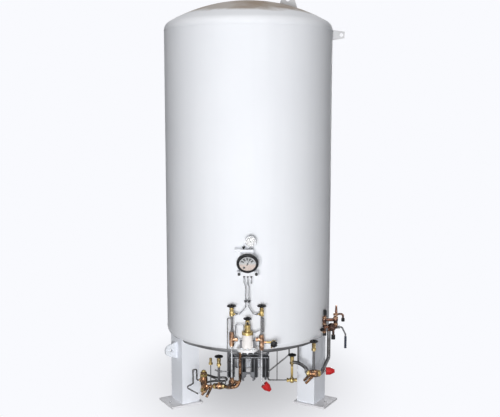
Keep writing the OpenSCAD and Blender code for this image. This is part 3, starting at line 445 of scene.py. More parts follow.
class Finishes:
    """Every finish of the part, made once and handed out by slot or by node."""

    def __init__(self) -> None:
        """Make the finishes."""
        white, cool = (0.825, 0.845, 0.885), (0.775, 0.795, 0.84)
        dome_reflection_and_shade, underside_shade = (0.31, 0.25, 0.20), (0.11, 0.11, 0.115)
        black, haze = (0.012, 0.012, 0.013), (0.05, 0.05, 0.052)
        steel, stain = (0.24, 0.245, 0.255), (0.09, 0.09, 0.095)
        grey, stem = (0.20, 0.20, 0.215), (0.12, 0.12, 0.125)
        valve_ends = (Zone(grey, ACROSS, -1.0, -0.0575), Zone(grey, ACROSS, 0.0415, 1.0))
        valve_foot = Zone((0.86, 0.865, 0.88), UP, 0.0, 0.7255)
        level_card = Zone((0.58, 0.59, 0.61), UP, 1.40, 1.63)
        level_tint = Zone((0.68, 0.55, 0.49), UP, 1.40, 1.516, 0.012)
        gauge_face = Zone((0.74, 0.74, 0.75), (0.0, -0.9205, -0.3907), -9.0, 0.2719)
        tube_sleeve = Zone((0.03, 0.03, 0.032), UP, 1.1465, 1.1675)
        dark_tube = Zone(stain, ACROSS, -1.0, -0.176)
        liquid_stem, vent_stem = Zone(stem, UP, 0.325, 0.472), Zone(stem, UP, 0.435, 0.615)
        lugs = Enamel("lug_enamel", (0.60, 0.605, 0.62), (0.54, 0.545, 0.56)).make()
        blocks = COPPER.make()
        bronze = (BRONZE.colour, BRONZE.over, BRONZE.bright)
        slots: dict[Slot, Finish] = {
            Slot.TANK_WHITE: Enamel("tank_enamel", white, cool),
            Slot.LEG_WHITE: Enamel("leg_enamel", (0.86, 0.89, 0.95), (0.80, 0.83, 0.89)),
            Slot.PLATE_WHITE: Enamel("plate_enamel", (0.82, 0.82, 0.85), (0.72, 0.72, 0.75)),
            Slot.GAUGE_BLACK: Moulded("gauge_enamel", black, haze),
            Slot.GAUGE_GREY: DrawnMetal("gauge_case", (0.15, 0.155, 0.16), (0.08, 0.08, 0.085)),
            Slot.DIAL: Moulded("dial_card", (0.83, 0.77, 0.74), (0.74, 0.66, 0.63), 0.55),
            Slot.TUBE: DrawnMetal("steel_tube", steel, stain),
            Slot.BRASS: BRASS,
            Slot.BRONZE: BRONZE,
            Slot.DARK_PIPE: DrawnMetal("dark_pipe", (0.17, 0.17, 0.175), (0.05, 0.045, 0.04), 0.8, 0.32),
            Slot.FINS: DrawnMetal("fin_extrusion", (0.15, 0.155, 0.165), (0.05, 0.05, 0.055), 0.7, 0.42),
            Slot.CAP_BLACK: Moulded("cap_rubber", (0.008, 0.008, 0.009), (0.03, 0.03, 0.032), 0.5, 0.3, 0.2),
            Slot.CAP_RED: Moulded("cap_plastic", (0.46, 0.012, 0.014), (0.54, 0.03, 0.03), 0.4, 0.3),
            Slot.WHEEL: Moulded("wheel_enamel", (0.006, 0.006, 0.007), (0.02, 0.02, 0.021), 0.34, 0.3, 0.2),
        }
        nodes: dict[str, Finish] = {
            # The dome's film is a painted reflection of brown surroundings on what faces up near its crown, and
            # its haze a painted shade in the same brown on what faces up.
            "top_head": Enamel("dome_enamel", white, cool, dome_reflection_and_shade, 0.903, 0.926, 1.0, 0.10),
            # Under the bottom head the film is a dark painted shade on what faces well down.
            "bottom_head": Enamel("underside_enamel", white, cool, underside_shade, -0.40, -0.48, 0.95),
            "tailing_lug": Enamel("tailing_enamel", (0.77, 0.80, 0.85), (0.71, 0.74, 0.79)),
            "centre_valve_body": Enamel(
                "valve_enamel", (0.86, 0.83, 0.82), (0.80, 0.77, 0.76), zones=(*valve_ends, valve_foot)
            ),
            "level_gauge": Moulded("level_gauge_enamel", black, haze, zones=(gauge_face,)),
            "gauge_dials": Moulded(
                "dial_cards", (0.80, 0.80, 0.81), (0.74, 0.74, 0.75), 0.55, zones=(level_card, level_tint)
            ),
            "gauge_tubes": DrawnMetal("gauge_tube_steel", steel, stain, zones=(tube_sleeve,)),
            "lower_left_pipes": DrawnMetal("black_pipe", (0.07, 0.07, 0.072), (0.02, 0.018, 0.016), 0.7),
            "lower_riser_tubes": DrawnMetal(
                "bright_tube", (0.62, 0.63, 0.65), (0.22, 0.21, 0.21), zones=(dark_tube,)
            ),
            "relief_manifold": RELIEF,
            "liquid_valve": TwoMetals("liquid_valve_metals", *bronze, BRASS, 0.40, (liquid_stem,)),
            "vent_valve": TwoMetals("vent_valve_metals", *bronze, BRASS, 0.55, (vent_stem,)),
        }
        self.by_slot = {slot: finish.make() for slot, finish in slots.items()}
        self.by_node = {node: finish.make() for node, finish in nodes.items()}
        self.by_node.update(left_manifold=blocks, right_manifold=blocks, crown_lug=lugs, side_lug=lugs)
        self.glass = GaugeGlass("gauge_glass", (0.93, 0.96, 0.97), (0.85, 0.86, 0.86)).make()
        self.ink = Moulded("dial_ink", (0.03, 0.03, 0.034), (0.09, 0.09, 0.095), 0.6).make()
        self.grip = Moulded("lever_grip", (0.02, 0.025, 0.045), (0.06, 0.07, 0.09), 0.5).make()

    def dress_nodes(self) -> None:
        """Give every carried-over node its finish."""
        for row in frame["record"]["subparts"]:
            name = row["node"]
            material = self.by_node.get(name, self.by_slot[Slot(row["material_slot"])])
            for slot in frame["nodes"][name].material_slots:
                slot.material = material
            LOG.info("dressed %s in %s", name, material.name)


def stand(at: Sequence[float], way: Sequence[float]) -> Matrix:
    """Carry a piece that is modelled on +Z at the origin to a place, pointing a way."""
    return Matrix.Translation(at) @ Vector(way).to_track_quat("Z", "Y").to_matrix().to_4x4()


def ring(radius: float, angles: Sequence[float]) -> list[Matrix]:
    """Find places on a circle about the origin, at angles in degrees."""
    turns = [math.radians(angle) for angle in angles]
    return [Matrix.Translation((radius * math.cos(turn), radius * math.sin(turn), 0.0)) for turn in turns]


def clear() -> None:
    """Deselect everything."""
    bpy.ops.object.select_all(action="DESELECT")


def take(name: str) -> None:
    """Name the piece that was just added and open it for editing.

    Args:
        name: the piece's name.
    """
    piece = bpy.context.object
    piece.name = piece.data.name = name
    bpy.ops.object.transform_apply(location=True, rotation=True, scale=True)
    bpy.ops.object.mode_set(mode="EDIT")


def add(radius: float, length: float, sides: int, foot: float = 0.0, aside: float = 0.0) -> None:
    """Add an upright cylinder that stands at a height, aside from the origin along +Y."""
    spot = (0.0, aside, foot + length / 2)
    bpy.ops.mesh.primitive_cylinder_add(vertices=sides, radius=radius, depth=length, location=spot)


def cylinder(name: str, radius: float, length: float, sides: int) -> None:
    """Start a piece from a cylinder that stands on the origin.

    Args:
        name: the piece's name.
        radius: its radius.
        length: its length along +Z.
        sides: how many sides it has.
    """
    clear()
    add(radius, length, sides)
    take(name)


def box(name: str, size: Point) -> None:
    """Start a piece from a box that stands on the origin.

    Args:
        name: the piece's name.
        size: its sides along X, Y and Z.
    """
    clear()
    bpy.ops.mesh.primitive_cube_add(size=1.0, location=(0.0, 0.0, size[2] / 2))
    bpy.context.object.scale = size
    take(name)


def pick(test: Callable[[Vector, Vector], bool]) -> None:
    """Select only the faces that pass a test.

    Args:
        test: what a face's centre and normal have to pass.
    """
    bpy.ops.mesh.select_mode(type="FACE")
    bpy.ops.mesh.select_all(action="DESELECT")
    data = bpy.context.object.data
    for face in bmesh.from_edit_mesh(data).faces:
        face.select_set(test(face.calc_center_median(), face.normal))
    bmesh.update_edit_mesh(data)


def pick_top() -> None:
    """Select the highest face that looks up."""
    mesh = bmesh.from_edit_mesh(bpy.context.object.data)
    top = max(face.calc_center_median().z for face in mesh.faces)
    pick(lambda centre, normal: normal.z > FACING and centre.z > top - TINY)


def inset(width: float) -> None:
    """Inset the selected faces."""
    bpy.ops.mesh.inset(thickness=width)


def extrude(height: float) -> None:
    """Pull the selected faces up, or push them down."""
    bpy.ops.mesh.extrude_region_move(TRANSFORM_OT_translate={"value": (0.0, 0.0, height)})


def lift(height: float) -> None:
    """Move the selected faces up."""
    bpy.ops.transform.translate(value=(0.0, 0.0, height))


def widen(x: float, y: float) -> None:
    """Scale the selected faces along X and Y."""
    bpy.ops.transform.resize(value=(x, y, 1.0))


def close(edge: float = 0.0, steps: int = 2, angle: float = 35.0) -> Thing:
    """Leave edit mode, round the edges and smooth the faces.

    Args:
        edge: the width of the rounded edges, or 0 for none.
        steps: segments across a rounded edge.
        angle: edges sharper than this, in degrees, are rounded.

    Returns:
        The piece.
    """
    bpy.ops.mesh.select_all(action="SELECT")
    bpy.ops.mesh.normals_make_consistent(inside=False)
    bpy.ops.object.mode_set(mode="OBJECT")
    piece = bpy.context.object
    if edge:
        bevel = piece.modifiers.new("edges", "BEVEL")
        bevel.width = edge
        bevel.segments = steps
        bevel.limit_method = "ANGLE"
        bevel.angle_limit = math.radians(angle)
        bpy.ops.object.modifier_apply(modifier=bevel.name)
    bpy.ops.object.shade_smooth_by_angle(angle=math.radians(angle))
    return piece


def copy(master: Thing, name: str, place: Matrix) -> Thing:
    """Set a copy of a piece at a place.

    Args:
        master: the piece that was modelled at the origin.
        name: the copy's name.
        place: where it goes.

    Returns:
        The copy, with a mesh of its own.
    """
    piece = master.copy()
    piece.data = master.data.copy()
    piece.data.transform(place)
    piece.name = name
    bpy.context.scene.collection.objects.link(piece)
    return piece


def copies(master: Thing, places: Sequence[Matrix]) -> Thing:
    """Set copies of a piece at their places and join them.

    Args:
        master: the piece that was modelled at the origin, which is used up.
        places: where each copy goes.

    Returns:
        The joined piece, with the master's name.
    """
    name = master.name
    made = [copy(master, name, place) for place in places]
    bpy.data.objects.remove(master)
    return join(made, name)


def join(pieces: Sequence[Thing], name: str) -> Thing:
    """Join pieces into one.

    Args:
        pieces: the pieces, which are used up.
        name: the joined piece's name.

    Returns:
        The joined piece.
    """
    clear()
    for piece in pieces:
        piece.select_set(True)
    bpy.context.view_layer.objects.active = pieces[0]
    if len(pieces) > 1:
        bpy.ops.object.join()
    joined = bpy.context.view_layer.objects.active
    joined.name = joined.data.name = name
    return joined


@dataclass
class Assembly:
    """A group of small pieces that are dressed and ride on the part's bodies."""

    finishes: Finishes

    def fit(self, piece: Thing, slot: Slot, body: str = "tank", material: Optional[Material] = None) -> None:
        """Dress a piece and let it ride on a body.

        Args:
            piece: the finished piece.
            slot: the record's slot that it belongs to.
            body: the body it moves with.
            material: its finish, where that isn't the slot's own.
        """
        piece.data.materials.clear()
        piece.data.materials.append(material or self.finishes.by_slot[slot])
        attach(piece, body)
        LOG.info("fitted %s: %d faces", piece.name, len(piece.data.polygons))


@dataclass
class WeldSeams(Assembly):
    """Weld beads round the jacket's two girth seams and the feet of the legs."""

    bead: float = 0.0024
    bead_sides: int = 8
    ripples: int = 360
    ripple_every: int = 3
    ripple_depth: float = 0.0006
    foot_bead: float = 0.006
    foot_angle: float = 20.0
    leg_angles: tuple[float, ...] = (210.0, 330.0, 90.0)
    leg_outer: float = 0.826
    leg_size: Pair = (0.188, 0.252)

    def girth(self, name: str, height: float, radius: float) -> None:
        """Lay a rippled bead round the jacket.

        Args:
            name: the bead's name.
            height: the seam's height.
            radius: the jacket's radius there.
        """
        clear()
        bpy.ops.mesh.primitive_torus_add(
            major_radius=radius - self.bead / 3,
            minor_radius=self.bead,
            major_segments=self.ripples,
            minor_segments=self.bead_sides,
        )
        take(name)
        pick(lambda centre, _: self.ripple(centre) % self.ripple_every == 0)
        bpy.ops.transform.shrink_fatten(value=self.ripple_depth)
        piece = close()
        piece.data.transform(Matrix.Translation((0.0, 0.0, height)))
        self.fit(piece, Slot.TANK_WHITE)

    def ripple(self, spot: Vector) -> int:
        """Tell which ripple a spot of the bead belongs to."""
        return int(math.atan2(spot.y, spot.x) / (2 * math.pi / self.ripples) + self.ripples)

    def feet(self) -> None:
        """Lay a bead round the foot of each leg."""
        depth, width = self.leg_size
        outside = (depth + self.foot_bead, width + self.foot_bead)
        box("leg_foot_welds", (*outside, self.foot_bead))
        pick(lambda _, normal: normal.z > FACING)
        widen(depth / outside[0], width / outside[1])
        pick(lambda _, normal: abs(normal.z) > FACING)
        inset(self.foot_bead / 2)
        bpy.ops.mesh.delete(type="FACE")
        piece = close(self.foot_bead / 3, angle=self.foot_angle)
        spot = Matrix.Translation((self.leg_outer - depth / 2, 0.0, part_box("base_plate_rear")[1].z))
        places = [Matrix.Rotation(math.radians(angle), 4, "Z") @ spot for angle in self.leg_angles]
        self.fit(copies(piece, places), Slot.LEG_WHITE)

    def build(self) -> None:
        """Lay all the beads."""
        low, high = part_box("jacket_shell")
        self.girth("lower_girth_weld", low.z, high.x)
        self.girth("upper_girth_weld", high.z, high.x)
        self.feet()


@dataclass
class DialFace(Assembly):
    """The printed scale, pointer and glass of one round gauge, in shares of its radius."""

    name: str
    place: Matrix
    radius: float
    start: float
    sweep: float
    numbers: tuple[str, ...]
    reading: float
    band: Pair = (0.46, 0.86)
    band_sides: int = 96
    bars: int = 5
    bar_share: float = 0.8
    divisions: int = 20
    tick: Pair = (0.035, 0.12)
    tick_taper: float = 0.55
    tick_reach: float = 0.88
    figure: float = 0.15
    figure_reach: float = 0.38
    pointer_size: Pair = (0.13, 0.95)
    pointer_taper: float = 0.2
    pointer_back: float = 0.22
    hub: Pair = (0.1, 0.04)
    film: float = 0.0003
    glass_thick: float = 0.0012
    glass_rise: float = 0.003
    glass_sides: int = 64
    glass_step: float = 0.2
    glass_steps: int = 3

    def spoke(self, share: float, reach: float) -> Matrix:
        """Place something at a share of the scale, at a reach in dial radii, with its +Y outwards."""
        turn = Matrix.Rotation(math.radians(self.start - self.sweep * share - 90.0), 4, "Z")
        return turn @ Matrix.Translation((0.0, reach * self.radius, 0.0))

    def ticks(self) -> Thing:
        """Model one tapered tick and set it along the scale.

        Returns:
            All the ticks in one piece.
        """
        width, length = self.tick
        box(f"{self.name}_ticks", (width * self.radius, length * self.radius, self.film))
        pick(lambda _, normal: normal.y < -FACING)
        widen(self.tick_taper, 1.0)
        piece = close()
        shares = [index / self.divisions for index in range(self.divisions + 1)]
        return copies(piece, [self.spoke(share, self.tick_reach) for share in shares])

    def scale_band(self) -> Thing:
        """Cut the broad printed arc out of a disc.

        Returns:
            The arc.
        """
        inner, outer = (share * self.radius for share in self.band)
        cylinder(f"{self.name}_band", outer, self.film, self.band_sides)
        pick(lambda _, normal: abs(normal.z) > FACING)
        inset(outer - inner)
        pick(lambda centre, normal: abs(normal.z) > FACING and centre.xy.length < inner / 2)
        bpy.ops.mesh.delete(type="FACE")
        pick(lambda centre, _: self.bare(centre))
        bpy.ops.mesh.delete(type="FACE")
        return close()

    def bare(self, spot: Vector) -> bool:
        """Tell a spot of the band off the scale, or in a gap between its bars."""
        turned = (self.start - math.degrees(math.atan2(spot.y, spot.x))) % 360.0
        return turned > self.sweep or self.bars * turned / self.sweep % 1.0 > self.bar_share

    def figures(self) -> list[Thing]:
        """Write the numbers of the scale.

        Returns:
            One flat mesh for each number.
        """
        made = []
        for index, word in enumerate(self.numbers):
            clear()
            bpy.ops.object.text_add()
            text = bpy.context.object.data
            text.body = word
            text.size = self.figure * self.radius
            text.align_x = "CENTER"
            text.align_y = "CENTER"
            text.extrude = self.film / 2
            bpy.ops.object.convert(target="MESH")
            piece = bpy.context.object
            spoke = self.spoke(index / (len(self.numbers) - 1), self.figure_reach)
            piece.data.transform(Matrix.Translation(spoke.to_translation()))
            made.append(piece)
        return made

    def pointer(self) -> Thing:
        """Model the tapered pointer with its round hub.

        Returns:
            The pointer, set to its reading.
        """
        width, length = (share * self.radius for share in self.pointer_size)
        hub, step = (share * self.radius for share in self.hub)
        box(f"{self.name}_pointer", (width, length, 3 * self.film))
        pick(lambda _, normal: normal.y > FACING)
        widen(self.pointer_taper, 1.0)
        add(hub, 6 * self.film, SMALL, aside=-self.pointer_back * self.radius)
        pick_top()
        inset(step)
        extrude(2 * self.film)
        piece = close(self.film / 2, 1)
        spoke = self.spoke(self.reading, self.pointer_back)
        piece.data.transform(spoke @ Matrix.Translation((0.0, 0.0, 4 * self.film)))
        return piece

    def glass(self) -> Thing:
        """Model the slightly domed glass.

        Returns:
            The glass.
        """
        cylinder(f"{self.name}_glass", self.radius, self.glass_thick, self.glass_sides)
        pick_top()
        for _ in range(self.glass_steps):
            inset(self.glass_step * self.radius)
            lift(self.glass_thick / self.glass_steps)
        piece = close(self.glass_thick / 4, 1)
        piece.data.transform(Matrix.Translation((0.0, 0.0, self.glass_rise)))
        return piece

    def build(self) -> None:
        """Build the whole face."""
        printed = join([self.ticks(), self.scale_band(), *self.figures()], f"{self.name}_scale")
        pointer = self.pointer()
        glass = self.glass()
        for piece in (printed, pointer, glass):
            piece.data.transform(self.place)
        self.fit(printed, Slot.DIAL, material=self.finishes.ink)
        self.fit(pointer, Slot.GAUGE_BLACK)
        self.fit(glass, Slot.DIAL, material=self.finishes.glass)


@dataclass
class GaugePanel(Assembly):
    """Faces of the level and pressure gauges, with the screws of the large bezel."""

    level_centre: Point = (-0.007, -0.965, 1.520)
    level_tilt: float = 23.0
    level_radius: float = 0.0768
    level_arc: Pair = (165.0, 150.0)
    level_numbers: tuple[str, ...] = ("0", "25", "50", "75", "100")
    level_reading: float = 0.63
    dial_below: float = 0.006
    bezel_radius: float = 0.0895
    screws: int = 6
    screw: Pair = (0.0042, 0.003)
    screw_socket: Pair = (0.0018, 0.0022)
    screw_edge: float = 0.0005
    zero_place: Pair = (-0.42, -0.55)
    zero: Pair = (0.012, 0.0016)
    zero_slot: Point = (0.002, 0.35, 0.001)
    zero_edge: float = 0.0002
    pressure_centre: Point = (0.020, -0.925, 1.724)
    pressure_radius: float = 0.0435
    pressure_arc: Pair = (225.0, 270.0)
    pressure_numbers: tuple[str, ...] = ("0", "5", "10", "15", "20")
    pressure_reading: float = 0.4
    pressure_band: Pair = (0.72, 0.78)

    def bezel_screws(self, face: Matrix) -> Thing:
        """Model one socket screw and set it round the bezel.

        Args:
            face: the bezel's front.

        Returns:
            All the screws in one piece.
        """
        cylinder("bezel_screws", *self.screw, SMALL)
        pick_top()
        inset(self.screw_socket[0])
        extrude(-self.screw_socket[1])
        piece = close(self.screw_edge)
        angles = [360.0 * (index + 0.5) / self.screws for index in range(self.screws)]
        return copies(piece, [face @ spot for spot in ring(self.bezel_radius, angles)])

    def zero_screw(self, dial: Matrix) -> Thing:
        """Model the slotted screw that sets the pointer's zero.

        Args:
            dial: the dial's front.

        Returns:
            The screw.
        """
        rim, narrow, deep = self.zero_slot
        cylinder("level_zero_screw", *self.zero, ROUND)
        pick_top()
        inset(rim)
        widen(narrow, 1.0)
        extrude(-deep)
        piece = close(self.zero_edge, 1)
        x, y = (share * self.level_radius for share in self.zero_place)
        piece.data.transform(dial @ Matrix.Translation((x, y, 0.0)))
        return piece

    def build(self) -> None:
        """Build both faces."""
        tilt = Matrix.Rotation(math.radians(90.0 + self.level_tilt), 4, "X")
        face = Matrix.Translation(self.level_centre) @ tilt
        dial = face @ Matrix.Translation((0.0, 0.0, -self.dial_below))
        DialFace(
            self.finishes, "level", dial, self.level_radius, *self.level_arc, self.level_numbers,
            self.level_reading,
        ).build()
        self.fit(self.bezel_screws(face), Slot.GAUGE_BLACK)
        self.fit(self.zero_screw(dial), Slot.GAUGE_BLACK)
        upright = Matrix.Translation(self.pressure_centre) @ Matrix.Rotation(math.radians(90.0), 4, "X")
        DialFace(
            self.finishes, "pressure", upright, self.pressure_radius, *self.pressure_arc,
            self.pressure_numbers, self.pressure_reading, self.pressure_band, bars=1, bar_share=1.0,
        ).build()


@dataclass
class WheelNuts(Assembly):
    """A dark nut with washer and spindle end on the hub of every handwheel."""

    across: float = 0.018
    height: float = 0.006
    washer: Pair = (0.0115, 0.002)
    spindle: Pair = (0.0045, 0.004)
    point: float = 0.0012
    edge: float = 0.0008
    hub_share: float = 1.3

    def master(self) -> Thing:
        """Model the nut on its washer.

        Returns:
            The nut, standing on the origin.
        """
        cylinder("wheel_nut", self.across / math.sqrt(3), self.height, HEX)
        add(*self.washer, ROUND)
        add(*self.spindle, SMALL, self.height - self.spindle[1] / 2)
        pick_top()
        inset(self.point)
        extrude(self.point)
        return close(self.edge)

    def build(self) -> None:
        """Set a nut on every wheel."""
        master = self.master()
        for joint in frame["joints"]:
            wheel = joint["child"]
            if not wheel.endswith("_handwheel"):
                continue
            way, centre = Vector(joint["axis"]), Vector(joint["pos_m"])
            place = stand(centre + way * self.hub_top(wheel, centre, way), way)
            self.fit(copy(master, wheel.replace("handwheel", "wheel_nut"), place), Slot.WHEEL, wheel)
        bpy.data.objects.remove(master)

    def hub_top(self, wheel: str, centre: Vector, way: Vector) -> float:
        """Measure a wheel's hub.

        Args:
            wheel: the wheel's node.
            centre: a point on its axis.
            way: the axis, outwards.

        Returns:
            How far the hub reaches from the point, along the axis.
        """
        spots = [vertex.co - centre for vertex in frame["nodes"][wheel].data.vertices]
        heights = [(spot.dot(way), (spot - way * spot.dot(way)).length) for spot in spots]
        return max(height for height, off in heights if off < self.hub_share * self.washer[0])


@dataclass
class FlangeBolts(Assembly):
    """Painted hex bolts with washers through the flange of the centre valve."""

    angles: tuple[float, ...] = (45.0, 90.0, 135.0, 225.0, 270.0, 315.0)
    circle: float = 0.076
    across: float = 0.019
    head: float = 0.010
    crown: Pair = (0.002, 0.001)
    washer: Pair = (0.0125, 0.002)
    shank: Pair = (0.006, 0.018)
    shank_foot: float = 0.002
    edge: float = 0.0006
    centre: Pair = (-0.008, -0.930)
    thick: float = 0.023

    def build(self) -> None:
        """Model one bolt with its nut and set it round the flange."""
        name = "centre_flange_bolts"
        cylinder(name, self.across / math.sqrt(3), self.head, HEX)
        pick_top()
        inset(self.crown[0])
        lift(self.crown[1])
        add(*self.washer, ROUND)
        bolt = close(self.edge)
        cylinder("nut", self.across / math.sqrt(3), self.head, HEX)
        add(*self.shank, SMALL, self.shank_foot)
        nut = close(self.edge)
        nut.data.transform(stand((0.0, 0.0, -self.thick), DOWN))
        bolt = join([bolt, nut], name)
        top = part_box("centre_valve_body")[0].z + self.thick
        middle = Matrix.Translation((*self.centre, top))
        places = [middle @ spot for spot in ring(self.circle, self.angles)]
        self.fit(copies(bolt, places), Slot.TANK_WHITE)


@dataclass
class TubeNuts(Assembly):
    """Compression nuts where the small tubes enter the gauge block, the valves and the manifolds."""

    across: float = 0.019
    height: float = 0.013
    shoulder: float = 0.002
    collar: float = 0.009
    collar_share: float = 0.72
    rim: float = 0.0012
    edge: float = 0.0009
    block_foot: float = 1.400
    port_height: float = 1.035
    line: float = -0.900
    block_x: tuple[float, ...] = (-0.040, -0.005, 0.028)
    ports: tuple[Pair, ...] = ((-0.121, 1.0), (0.090, -1.0))

    def build(self) -> None:
        """Model one nut and set it at every tube's end."""
        cylinder("tube_nuts", self.across / math.sqrt(3), self.height, HEX)
        pick_top()
        inset(self.shoulder)
        extrude(self.collar)
        widen(self.collar_share, self.collar_share)
        inset(self.rim)
        extrude(-self.collar / 3)
        piece = close(self.edge)
        places = [stand((x, self.line, self.block_foot), DOWN) for x in self.block_x]
        places += [stand((x, self.line, self.port_height), (side, 0.0, 0.0)) for x, side in self.ports]
        self.fit(copies(piece, places), Slot.DARK_PIPE)


@dataclass
class ColumnTrim(Assembly):
    """Union nuts and turned bodies on the relief columns, the fill column and the lower valves."""

    nut_radius: float = 0.0225
    nut_heights: Pair = (0.0126, 0.0054)
    nut_shoulder: float = 0.0035
    nut_taper: float = 0.94
    body_radius: float = 0.020
    body_height: float = 0.044
    body_waist: float = 0.86
    body_angle: float = 20.0
    edge: float = 0.0012
    relief: tuple[Pair, ...] = ((0.754, -0.419), (0.865, -0.419))
    relief_nuts: tuple[Point, ...] = ((0.722, 0.802, 0.868), (0.802, 0.868, 0.898))
    relief_body: float = 0.821
    relief_grown: Pair = (1.0, 1.2)
    relief_link: Point = (0.766, -0.419, 0.852)
    link_shape: Point = (0.85, 0.85, 2.0)
    fill: Pair = (-0.428, -0.740)
    fill_nuts: tuple[Pair, ...] = ((0.240, 1.6), (0.384, 1.7), (0.425, 1.0))
    fill_body: Pair = (0.301, 1.85)
    valves: tuple[Point, ...] = ((-0.282, -0.740, 0.285), (0.630, -0.690, 0.394))
    valve_grown: Pair = (1.6, 1.9)
    nut_share: float = 0.8

    def nuts(self, name: str, places: Sequence[Matrix]) -> Thing:
        """Model a union nut with a turned collar on top and set it at its places.

        Args:
            name: the piece's name.
            places: where each nut goes.

        Returns:
            All the nuts in one piece.
        """
        height, collar = self.nut_heights
        cylinder(name, self.nut_radius, height, HEX)
        pick_top()
        inset(self.nut_shoulder)
        extrude(collar)
        widen(self.nut_taper, self.nut_taper)
        return copies(close(self.edge), places)

    def bodies(self, name: str, places: Sequence[Matrix]) -> Thing:
        """Model a turned body that swells in the middle and set it at its places.

        Args:
            name: the piece's name.
            places: where each body goes.

        Returns:
            All the bodies in one piece.
        """
        cylinder(name, self.body_waist * self.body_radius, self.body_height / 4, ROUND)
        for swell in (1.0 / self.body_waist, 1.0, self.body_waist):
            pick_top()
            extrude(self.body_height / 4)
            widen(swell, swell)
        return copies(close(self.edge, angle=self.body_angle), places)

    @staticmethod
    def at(spot: Pair, height: float, grown: float) -> Matrix:
        """Place something on an upright column, grown so many times."""
        return Matrix.Translation((*spot, height)) @ Matrix.Scale(grown, 4)

    def build(self) -> None:
        """Build the trim of all the columns."""
        finish = self.finishes.by_node
        columns = tuple(zip(self.relief, self.relief_grown, self.relief_nuts))
        places = [self.at(spot, z, grown) for spot, grown, heights in columns for z in heights]
        self.fit(self.nuts("relief_nuts", places), Slot.BRONZE, material=finish["left_manifold"])
        places = [self.at(spot, self.relief_body, grown) for spot, grown, _ in columns]
        places.append(stand(self.relief_link, ACROSS) @ Matrix.Diagonal((*self.link_shape, 1.0)))
        self.fit(self.bodies("relief_bodies", places), Slot.BRONZE, material=finish["relief_manifold"])
        places = [self.at(self.fill, *nut) for nut in self.fill_nuts]
        swells = [self.at(self.fill, *self.fill_body)]
        for (x, y, z), grown in zip(self.valves, self.valve_grown):
            half = grown * self.body_height / 2
            swells.append(stand((x - half, y, z), ACROSS) @ Matrix.Scale(grown, 4))
            for side in (-1.0, 1.0):
                turned = stand((x + side * half, y, z), (side, 0.0, 0.0))
                places.append(turned @ Matrix.Scale(self.nut_share * grown, 4))
        self.fit(self.nuts("union_nuts", places), Slot.BRASS)
        self.fit(self.bodies("valve_swells", swells), Slot.BRONZE)


@dataclass
class BentPipes(Assembly):
    """The tube that loops back to the fill column, the pipe under the check valve and the vent's branch."""

    loop: tuple[Point, ...] = (
        (-0.410, -0.725, 0.392), (-0.370, -0.705, 0.378), (-0.320, -0.690, 0.350), (-0.270, -0.690, 0.352),
        (-0.215, -0.690, 0.356), (-0.200, -0.690, 0.328), (-0.235, -0.690, 0.314), (-0.300, -0.690, 0.322),
        (-0.370, -0.705, 0.318), (-0.410, -0.725, 0.314),
    )
    elbow: tuple[Point, ...] = (
        (-0.230, -0.740, 0.285), (-0.205, -0.755, 0.278), (-0.192, -0.820, 0.298), (-0.168, -0.890, 0.328),
        (-0.130, -0.908, 0.334), (-0.096, -0.900, 0.350), (-0.090, -0.888, 0.380),
    )
    branch: tuple[Point, ...] = (
        (0.425, -0.620, 0.484), (0.465, -0.622, 0.484), (0.520, -0.650, 0.470), (0.565, -0.686, 0.440),
        (0.575, -0.690, 0.405), (0.595, -0.690, 0.394),
    )
    loop_radius: float = 0.0105
    elbow_radius: float = 0.018
    branch_radius: float = 0.016
    round_steps: int = 4
    bend_order: int = 4
    bend_steps: int = 8

    def bend(self, name: str, points: Sequence[Point], radius: float) -> Thing:
        """Bend a pipe smoothly past its points.

        Args:
            name: the pipe's name.
            points: the points, of which it meets the first and the last.
            radius: its radius.

        Returns:
            The pipe.
        """
        curve = bpy.data.curves.new(name, "CURVE")
        curve.dimensions = "3D"
        curve.bevel_depth = radius
        curve.bevel_resolution = self.round_steps
        curve.use_fill_caps = True
        spline = curve.splines.new("NURBS")
        spline.points.add(len(points) - 1)
        for point, place in zip(spline.points, points):
            point.co = (*place, 1.0)
        spline.order_u = self.bend_order
        spline.use_endpoint_u = True
        spline.resolution_u = self.bend_steps
        piece = bpy.data.objects.new(name, curve)
        bpy.context.scene.collection.objects.link(piece)
        clear()
        piece.select_set(True)
        bpy.context.view_layer.objects.active = piece
        bpy.ops.object.convert(target="MESH")
        take(name)
        bpy.ops.mesh.select_all(action="SELECT")
        bpy.ops.mesh.remove_doubles(threshold=TINY)
        return close()

    def build(self) -> None:
        """Bend all three."""
        dark = self.finishes.by_node["lower_left_pipes"]
        loop = self.bend("equalizing_loop", self.loop, self.loop_radius)
        self.fit(loop, Slot.DARK_PIPE, material=dark)
        self.fit(self.bend("liquid_elbow", self.elbow, self.elbow_radius), Slot.BRONZE)
        branch = self.bend("vent_branch", self.branch, self.branch_radius)
        self.fit(branch, Slot.DARK_PIPE, material=dark)


@dataclass
class WheelCover(Assembly):
    """A dished cover over the windows of the side valve's wheel."""

    wheel: str = "side_handwheel"
    outer: float = 0.024
    inner: float = 0.0133
    web: float = 0.0146
    thick: float = 0.002
    sides: int = 48
    edge: float = 0.0006

    def build(self) -> None:
        """Model the cover on the wheel's web."""
        joint = next(joint for joint in frame["joints"] if joint["child"] == self.wheel)
        step = (self.outer - self.inner) / 2
        cylinder("side_wheel_cover", self.outer, self.thick, self.sides)
        pick_top()
        inset(step)
        lift(self.thick)
        inset(step)
        extrude(self.thick / 2)
        piece = close(self.edge)
        way = Vector(joint["axis"])
        piece.data.transform(stand(Vector(joint["pos_m"]) + way * self.web, way))
        self.fit(piece, Slot.WHEEL, self.wheel)


